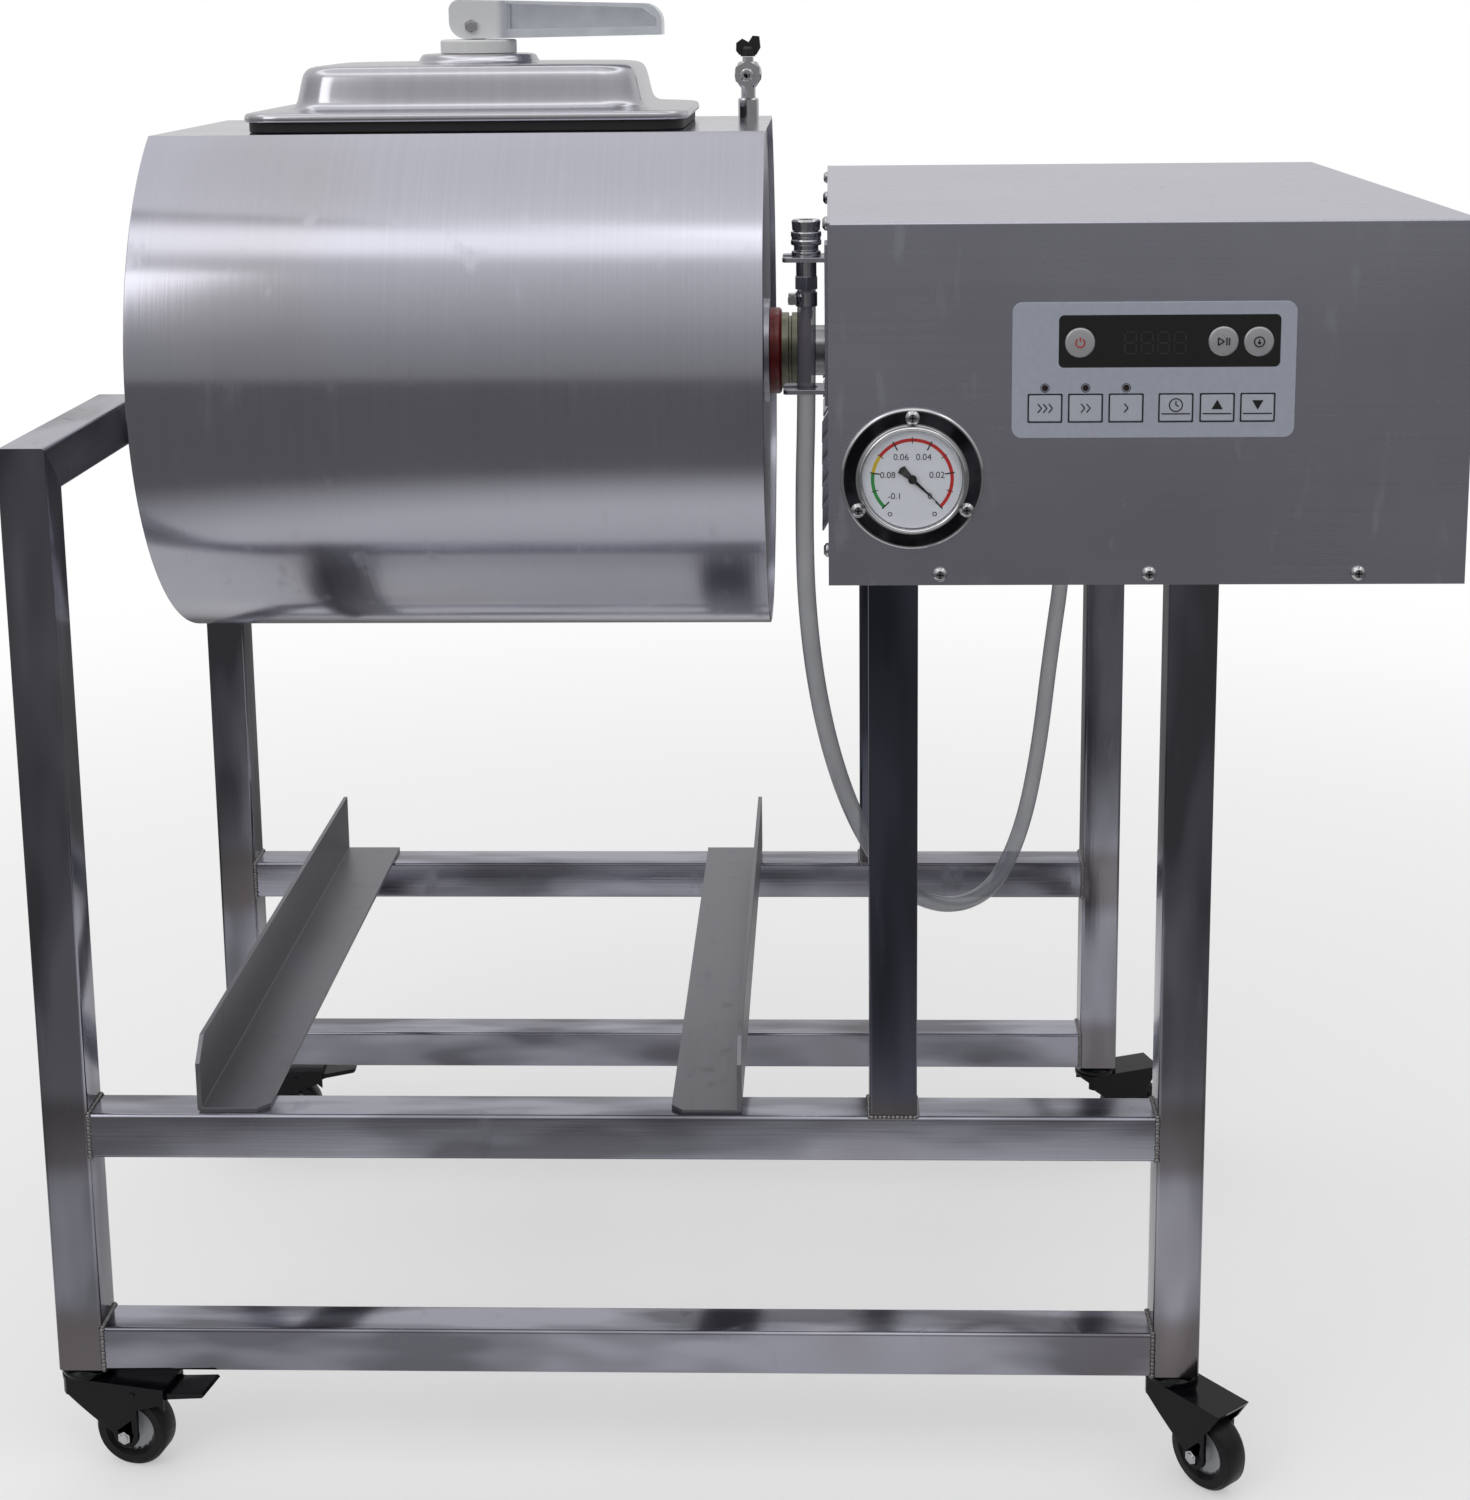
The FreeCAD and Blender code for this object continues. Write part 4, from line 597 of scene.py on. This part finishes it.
def lever_finish():
    """Clear bluish plastic, moulded thick and white about the bolt."""
    material, shader, blank = new_finish("milky_plastic", Coat_Weight=0.6, Coat_Roughness=0.05,
                                         IOR=1.45)
    place = blank.node("TexCoord", out="Object")
    bolt_x = (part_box("lever_bolt")[0].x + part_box("lever_bolt")[1].x) / 2
    along = place.node("SeparateXYZ", None, {"Vector": place}, out="X")
    thin = along.above(bolt_x + WHITE_BLOCK_END, bolt_x + CLEAR_ARM_START)
    haze = noise(place, 60.0, 2.0)
    thin_colour = haze.above(0.2, 0.8).blend(opaque((0.50, 0.54, 0.62)), opaque((0.66, 0.70, 0.78)))
    feed(shader, Base_Color=thin.blend(opaque((0.80, 0.81, 0.83)), thin_colour),
         Alpha=1 - thin * 0.38, Roughness=0.26 - thin * 0.14 + haze * 0.04)
    return material


milky_plastic = lever_finish()
dress(clean_copy("seat_ring", "lid_knob_ring", 0.0004), white_plastic, "lid_knob_ring")
dress(clean_copy("clamp_rod_turned", "lid_clamp_rod", 0.0004), turned_steel, "lid_clamp_rod")
dress(clean_copy("lever_moulding", "lid_lever", 0.0005), milky_plastic, "lid_lever")
dress(clean_copy("lever_bolt_hex", "lever_bolt", 0.0002), chrome, "lever_bolt")


# The drive box. A cover folded from brushed stainless sheet over a tray, with a left side
# panel that has pressed louvres, all held by pan-head screws.

box_satin = steel("box_satin", (0.55, 0.55, 0.63), 0.31, (7.0, 600.0, 600.0), 0.0, 0.5,
                  None, 0.12, streak=0.3)
dress(clean_copy("box_cover_sheet", "box_cover", 0.0004), box_satin, "box_cover")
dress(clean_copy("box_left_sheet", "box_left_panel", 0.0003), box_satin, "box_left_panel")
dress(clean_copy("box_tray_sheet", "box_base", 0.0003), box_satin, "box_base")
dress(clean_copy("pan_head_screws_plated", "pan_head_screws", 0.0003), chrome, "pan_head_screws")


# The screws' cross recesses. Two slots are pressed across each pan head. Here each slot is a thin
# black bar laid on the head, painted shade for the shadow in the slots.

RECESS_LENGTH = 0.0044
RECESS_WIDTH = 0.0010
PRINT_DEPTH = 0.00012


def stroke(mesh, start, end, width, facing="Y"):
    """A thin bar from start to end, lying on a face that looks along -X or -Y."""
    run = end - start
    size = {"Y": (run.length, PRINT_DEPTH, width), "X": (PRINT_DEPTH, run.length, width)}[facing]
    turn = -math.atan2(run.z, run.x) if facing == "Y" else math.atan2(run.z, run.y)
    place = Matrix.Translation((start + end) / 2) @ Matrix.Rotation(turn, 4, facing)
    bmesh.ops.create_cube(mesh, size=1.0, matrix=place @ Matrix.Diagonal((*size, 1.0)))


# Near-black for the recesses is painted shade: the plated slots look dark only in their shadow.
recess_painted_shade = painted("recess_painted_shade", (0.012, 0.012, 0.013), 0.5, 0.3)
recess_shade_bars = bmesh.new()
for screw_low, screw_high in loose_boxes("pan_head_screws"):
    centre = (screw_low + screw_high) / 2
    on_front = screw_high.y - screw_low.y > screw_high.x - screw_low.x
    centre["xy".index("y" if on_front else "x")] = screw_low.y if on_front else screw_low.x
    level = Vector((RECESS_LENGTH / 2, 0, 0)) if on_front else Vector((0, RECESS_LENGTH / 2, 0))
    upright = Vector((0, 0, RECESS_LENGTH / 2))
    for half in (level, upright):
        stroke(recess_shade_bars, centre - half, centre + half, RECESS_WIDTH, "Y" if on_front else "X")
crosses = add_piece("screw_recess_painted_shade", recess_shade_bars, smooth=False)
dress(crosses, recess_painted_shade, body="frame")


# The gauge. A plated steel case behind a wide polished flange, a white dial with a coloured
# scale, a black pointer and a flat glass.

dial_card = painted("dial_card", (0.84, 0.87, 0.94), 0.45, 0.04)
pointer_black = painted("pointer_black", (0.01, 0.01, 0.012), 0.35, 0.3)
glass, glass_shader, _ = new_finish("gauge_glass", Base_Color=(1, 1, 1, 1), Roughness=0.02,
                                    IOR=1.2, Transmission_Weight=1.0)

BEZEL_EDGE = 0.0334
FLANGE_EDGE = 0.0407


def gauge_finish():
    """Bright plate, with the polished flat of the flange coloured dark between its rim and the bezel
    as a painted reflection.
    """
    material, shader, blank = new_finish("gauge_plate", Metallic=1.0, Roughness=0.10)
    place = blank.node("TexCoord", out="Object")
    low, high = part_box("gauge_dial")
    middle = (low + high) / 2
    flat = place.node("VectorMath", {"operation": "SUBTRACT"}, {0: place, 1: middle})
    flat = flat.node("VectorMath", {"operation": "MULTIPLY"}, {0: flat, 1: (1.0, 0.0, 1.0)})
    reach = flat.node("VectorMath", {"operation": "LENGTH"}, {0: flat}, out="Value")
    flange = reach.above(BEZEL_EDGE - 0.0002, BEZEL_EDGE + 0.0002)
    flange = flange * (1 - reach.above(FLANGE_EDGE - 0.0003, FLANGE_EDGE + 0.0003))
    # The near-black of the flange flat is a painted reflection, and this noise varies it as a painted
    # sheen.
    painted_reflection_noise = noise(place, 45.0, 2.0)
    dark = painted_reflection_noise.above(0.35, 0.7).blend(opaque((0.025, 0.025, 0.03)), opaque((0.12, 0.12, 0.15)))
    feed(shader, Base_Color=flange.blend(opaque((0.66, 0.66, 0.68)), dark))
    return material


dress(clean_copy("gauge_case_plated", "gauge_case", 0.0003), gauge_finish(), "gauge_case")
dress(clean_copy("gauge_dial_card", "gauge_dial"), dial_card, "gauge_dial")
dress(clean_copy("gauge_pointer", "gauge_needle"), pointer_black, "gauge_needle")
dress(clean_copy("gauge_window", "gauge_glass", 0.0002), glass, "gauge_glass")


# The gauge's scale. Printed on the dial: a tick each 0.01, a number each 0.02, and a green,
# yellow and red arc, over three quarters of a turn.

SCALE_START = math.radians(-45.0)
SCALE_SWEEP = math.radians(270.0)
FULL_SCALE = 0.10


def arc(mesh, centre, radius, width, start, sweep, steps=32):
    """A flat ring or part of one, spun round centre on a face that looks along -Y."""
    whole = abs(sweep - 2 * math.pi) < 1e-6
    outward = Vector((math.cos(start), 0, math.sin(start)))
    place = Matrix.Translation(centre + outward * radius) @ Matrix.Rotation(-start, 4, "Y")
    made = bmesh.ops.create_grid(mesh, x_segments=1, y_segments=1, size=0.5,
                                 matrix=place @ Matrix.Diagonal((width, PRINT_DEPTH, 1.0, 1.0)))
    first = list({face for vert in made["verts"] for face in vert.link_faces})
    edges = list({edge for vert in made["verts"] for edge in vert.link_edges})
    bmesh.ops.spin(mesh, geom=made["verts"] + edges + first, cent=centre, axis=(0, -1, 0),
                   angle=sweep, steps=steps, use_merge=whole)
    if whole:
        bmesh.ops.delete(mesh, geom=[face for face in first if face.is_valid], context="FACES_ONLY")


def letters(mesh, body, size, centre):
    """Plain numbers or signs, a thin solid on a face that looks along -Y."""
    curve = bpy.data.curves.new("letters", "FONT")
    curve.body = body
    curve.size = size
    curve.extrude = PRINT_DEPTH / 2
    curve.align_x = "CENTER"
    curve.align_y = "CENTER"
    holder = bpy.data.objects.new("letters", curve)
    flat = bpy.data.meshes.new_from_object(holder)
    flat.transform(Matrix.Translation(centre) @ Matrix.Rotation(math.pi / 2, 4, "X"))
    mesh.from_mesh(flat)
    bpy.data.objects.remove(holder)
    bpy.data.meshes.remove(flat)


def print_on(name, mesh, material, body):
    """Finishes a printed mark, so that it moves with the piece it is printed on."""
    bmesh.ops.recalc_face_normals(mesh, faces=mesh.faces)
    piece = add_piece(name, mesh, smooth=False)
    return dress(piece, material, body=body)


dial_low, dial_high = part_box("gauge_dial")
dial_centre = (dial_low + dial_high) / 2
dial_centre.y = dial_low.y - PRINT_DEPTH / 2
dial_radius = (dial_high.x - dial_low.x) / 2


def on_dial(value, share):
    """A place on the dial at a value of the scale and a share of its radius."""
    turn = SCALE_START + SCALE_SWEEP * value / FULL_SCALE
    return dial_centre + Vector((math.cos(turn), 0, math.sin(turn))) * dial_radius * share


ink_black = painted("ink_black", (0.012, 0.012, 0.013), 0.45, 0.2)
scale_marks = bmesh.new()
for tick in range(11):
    long_tick = tick % 2 == 0
    stroke(scale_marks, on_dial(tick / 100, 0.66 if long_tick else 0.72), on_dial(tick / 100, 0.86),
           0.0008 if long_tick else 0.0005)
    if long_tick:
        letters(scale_marks, ("-" if tick == 10 else "") + f"{tick / 100:g}", 0.0054,
                on_dial(tick / 100, 0.50))
for side in (-1, 1):
    arc(scale_marks, dial_centre + Vector((side * 0.45 * dial_radius, 0, -0.72 * dial_radius)),
        0.0011, 0.0005, 0.0, 2 * math.pi, 12)
print_on("scale_marks", scale_marks, ink_black, "frame")
for name, first, last, tint in (("scale_green", 0.08, 0.10, (0.03, 0.32, 0.07)),
                                ("scale_yellow", 0.07, 0.08, (0.75, 0.55, 0.03)),
                                ("scale_red", 0.0, 0.07, (0.62, 0.02, 0.02))):
    band = bmesh.new()
    arc(band, dial_centre, dial_radius * 0.80, dial_radius * 0.07,
        SCALE_START + SCALE_SWEEP * first / FULL_SCALE, SCALE_SWEEP * (last - first) / FULL_SCALE)
    bmesh.ops.translate(band, vec=(0, PRINT_DEPTH / 3, 0), verts=band.verts)
    print_on(name, band, painted(name, tint, 0.45, 0.08), "frame")


# The key panel. A pale printed film stuck on the box's front, with domed silver keys and flat
# keys under it.

def spot(x, y, z):
    """A place given in millimetres from the front left leg's foot."""
    return Vector((x, y, z)) / 1000 + SHIFT


WINDOW_LOW = spot(638.0, 0.0, 726.0)
WINDOW_HIGH = spot(767.0, 0.0, 757.0)
WINDOW_CORNER = 0.0032
PANEL_TINT = (0.50, 0.53, 0.63)


def film_finish():
    """Pale silver-blue film, with one glossy black window printed behind it."""
    material, shader, blank = new_finish("panel_film", Coat_Roughness=0.08)
    place = blank.node("TexCoord", out="Object")
    centre = (WINDOW_LOW + WINDOW_HIGH) / 2
    past = 0
    for axis, middle, high in (("X", centre.x, WINDOW_HIGH.x), ("Z", centre.z, WINDOW_HIGH.z)):
        along = place.node("SeparateXYZ", None, {"Vector": place}, out=axis) - middle
        beyond = (along.greater(-1 * along) - (high - middle - WINDOW_CORNER)).greater(0.0)
        past = beyond * beyond + past
    window = 1 - past.above((WINDOW_CORNER - 1e-4) ** 2, (WINDOW_CORNER + 1e-4) ** 2)
    skin = noise(place, 300.0, 2.0)
    film = skin.above(0.3, 0.7).blend(opaque([c * 0.95 for c in PANEL_TINT]), opaque(PANEL_TINT))
    feed(shader, Base_Color=window.blend(film, grey(0.012)), Coat_Weight=window * 0.5,
         Roughness=0.36 - window * 0.2 + skin * 0.06, Normal=bump(skin, 0.03, 0.0003))
    return material


panel_film = film_finish()
key_film = painted("key_film", (0.56, 0.59, 0.67), 0.34, 0.05, 200.0, 0.03)
silver_key = painted("silver_key", (0.55, 0.55, 0.58), 0.3, 0.08, Metallic=0.4)
dress(clean_copy("panel_film_sheet", "panel_overlay", 0.0003), panel_film, "panel_overlay")
for node in ("power_key", "start_key", "vacuum_key"):
    dress(clean_copy(node + "_dome", node, 0.0003), silver_key, node)
for node in ("fast_key", "medium_key", "slow_key", "time_key", "time_up_key", "time_down_key"):
    dress(clean_copy(node + "_face", node, 0.0002), key_film, node)


# The print on the panel and its keys. Black frames round the flat keys, dark lamps in rings,
# a display with unlit digits, and plain signs for what each key does.

overlay_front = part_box("panel_overlay")[0].y - PRINT_DEPTH / 2
LAMP_RADIUS = 0.0019
LINE_WIDTH = 0.0007
SEGMENT_WIDTH = 0.0009
FRAME_GAP = 0.0006
frames = bmesh.new()
lamp_marks = bmesh.new()
for node in ("fast_key", "medium_key", "slow_key", "time_key", "time_up_key", "time_down_key"):
    low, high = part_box(node)
    corners = [Vector((x, overlay_front, z)) for x, z in
               ((low.x - FRAME_GAP, low.z - FRAME_GAP), (high.x + FRAME_GAP, low.z - FRAME_GAP),
                (high.x + FRAME_GAP, high.z + FRAME_GAP), (low.x - FRAME_GAP, high.z + FRAME_GAP))]
    for start, end in zip(corners, corners[1:] + corners[:1]):
        stroke(frames, start, end, LINE_WIDTH)
for lamp_x in (630.3, 654.0, 677.8):
    centre = spot(lamp_x, 0.0, 714.0)
    centre.y = overlay_front
    arc(frames, centre, LAMP_RADIUS + FRAME_GAP, 0.0004, 0.0, 2 * math.pi, 20)
    arc(lamp_marks, centre, LAMP_RADIUS / 2, LAMP_RADIUS * 0.98, 0.0, 2 * math.pi, 20)
print_on("panel_frames", frames, ink_black, "frame")
lamp_dark = painted("lamp_dark", (0.022, 0.010, 0.010), 0.2, 0.2, Coat_Weight=0.5)
print_on("panel_lamps", lamp_marks, lamp_dark, "frame")

digits = bmesh.new()
DIGIT_HEIGHT = 0.0125
DIGIT_WIDTH = 0.0066
DIGIT_STEP = 9.6
for number in range(4):
    left = spot(676.5 + DIGIT_STEP * number, 0.0, 734.2)
    left.y = overlay_front
    across = Vector((DIGIT_WIDTH, 0, 0))
    half_up = Vector((0, 0, DIGIT_HEIGHT / 2))
    for level in range(3):
        start = left + half_up * level
        stroke(digits, start + across * 0.14, start + across * 0.86, SEGMENT_WIDTH)
    for level in range(2):
        for side in (0, 1):
            start = left + half_up * level + across * side
            stroke(digits, start + half_up * 0.14, start + half_up * 0.86, SEGMENT_WIDTH)
unlit = painted("unlit_segment", (0.045, 0.035, 0.035), 0.3, 0.2)
print_on("display_digits", digits, unlit, "frame")


def key_print(node, material, *lines, rings=(), wedge=None):
    """Signs on a key: lines, rings and a solid triangle's height and way up, all given in
    millimetres from the middle of its face."""
    low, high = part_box(node)
    middle = (low + high) / 2
    middle.y = low.y - PRINT_DEPTH / 2
    mesh = bmesh.new()
    for x0, z0, x1, z1 in lines:
        stroke(mesh, middle + Vector((x0, 0, z0)) / 1000, middle + Vector((x1, 0, z1)) / 1000,
               LINE_WIDTH)
    for radius, start, sweep, *lift in rings:
        arc(mesh, middle + Vector((0, 0, sum(lift) / 1000)), radius / 1000, LINE_WIDTH, math.radians(start), math.radians(sweep), 24)
    if wedge:
        height, turn = wedge
        place = Matrix.Translation(middle + Vector((0, 0, height)) / 1000)
        place = place @ Matrix.Rotation(math.pi / 2, 4, "X") @ Matrix.Rotation(turn, 4, "Z")
        bmesh.ops.create_cone(mesh, cap_ends=True, segments=3, radius1=0.0038, radius2=0.0038,
                              depth=PRINT_DEPTH, matrix=place)
    print_on(node + "_sign", mesh, material, frame["nodes"][node]["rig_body"])


sign_red = painted("sign_red", (0.60, 0.02, 0.02), 0.4, 0.08)
key_print("power_key", sign_red, (0, 0.6, 0, 3.4), rings=[(2.6, 125, 290)])
key_print("start_key", ink_black, (-3.2, -2.2, -3.2, 2.2), (-3.2, 2.2, 0.2, 0), (0.2, 0, -3.2, -2.2),
          (1.7, -2.2, 1.7, 2.2), (3.2, -2.2, 3.2, 2.2))
key_print("vacuum_key", ink_black, (0, 1.4, 0, -1.2), (-1.0, -0.2, 0, -1.3), (1.0, -0.2, 0, -1.3),
          rings=[(2.9, 0, 360)])
for node, chevrons in (("slow_key", 1), ("medium_key", 2), ("fast_key", 3)):
    lines = []
    for number in range(chevrons):
        tip = 1.2 + 3.2 * (number - (chevrons - 1) / 2)
        lines += [(tip - 2.2, 2.6, tip, 0), (tip - 2.2, -2.6, tip, 0)]
    key_print(node, ink_black, *lines)
key_print("time_key", ink_black, (-8.4, -3.6, 8.4, -3.6), (0, 1.6, 0, 4.0), (0, 1.6, 1.7, 0.8),
          rings=[(3.8, 0, 360, 1.6)])
key_print("time_up_key", ink_black, (-8.4, -3.6, 8.4, -3.6), wedge=(0.9, 0.0))
key_print("time_down_key", ink_black, (-8.4, -3.6, 8.4, -3.6), wedge=(2.4, math.pi))


# Inside the box. The gear motor and the vacuum pump in cast aluminium, bolted to the tray, and
# the control board behind the key panel.

grey_casting = painted("grey_casting", (0.20, 0.21, 0.23), 0.45, 0.2, Metallic=0.3)
board_green = painted("board_green", (0.02, 0.12, 0.05), 0.4, 0.2)
dress(clean_copy("gear_motor_casting", "gear_motor", 0.0006), grey_casting, "gear_motor")
dress(clean_copy("vacuum_pump_casting", "vacuum_pump", 0.0006), grey_casting, "vacuum_pump")
dress(clean_copy("control_board_green", "control_board"), board_green, "control_board")


# The parking bracket and the hose's fittings. A bent stainless bracket, a chromed quick
# coupler with a sliding sleeve, a worm-drive clamp and a barbed outlet under the box.

dress(clean_copy("hose_bracket_sheet", "hose_bracket", 0.0004), disc_satin, "hose_bracket")
coupler = dress(clean_copy("coupler_socket", "coupler_body", 0.0003), chrome, "coupler_body")
sleeve = dress(clean_copy("coupler_slide", "coupler_sleeve", 0.0003), chrome, "coupler_sleeve")
clamp = dress(clean_copy("worm_clamp", "hose_clamp", 0.0003), chrome, "hose_clamp")
barb = dress(clean_copy("outlet_barb", "hose_barb", 0.0003), chrome, "hose_barb")


# The casters. Forks and heads pressed from black-coated steel, each wheel a rubber tread moulded
# on a grey core. The two on the left have a brake pedal, and each stem screws into its leg.

JOINT = {joint["name"]: joint for joint in frame["record"]["behaviour"]["joints"]}


NUT_REACH = 0.0055
CORE_REACH = 0.0168


def finish_near_axle(piece, corner, radius, material):
    """Gives a second finish to the faces that lie within a radius of a wheel's axle."""
    joint = JOINT[corner + "_wheel_roll"]
    centre = Vector(joint["pos_m"])
    axle = Vector(joint["axis"])
    piece.data.materials.append(material)
    for face in piece.data.polygons:
        corners = [piece.data.vertices[vert].co - centre for vert in face.vertices]
        if all((away - axle * away.dot(axle)).length < radius for away in corners):
            face.material_index = 1


black_steel = painted("black_steel", (0.004, 0.004, 0.006), 0.16, 0.3, 200.0, 0.05,
                      Specular_IOR_Level=0.22)
tread_rubber = painted("tread_rubber", (0.010, 0.010, 0.012), 0.36, 0.3, 400.0, 0.1,
                       Specular_IOR_Level=0.22)
core_grey = painted("core_grey", (0.45, 0.46, 0.48), 0.45, 0.1)
dress(clean_copy("caster_heads", "caster_stems", 0.0004), black_steel, "caster_stems")
for corner in ("front_left", "back_left", "front_right", "back_right"):
    fork = dress(clean_copy(corner + "_fork_pressing", corner + "_fork", 0.0003), black_steel,
                 corner + "_fork")
    finish_near_axle(fork, corner, NUT_REACH, chrome)
    wheel = dress(clean_copy(corner + "_tread", corner + "_wheel"), tread_rubber,
                  corner + "_wheel")
    finish_near_axle(wheel, corner, CORE_REACH, core_grey)
    if "left" in corner:
        dress(clean_copy(corner + "_brake_lever", corner + "_brake_pedal", 0.0004), black_steel,
              corner + "_brake_pedal")
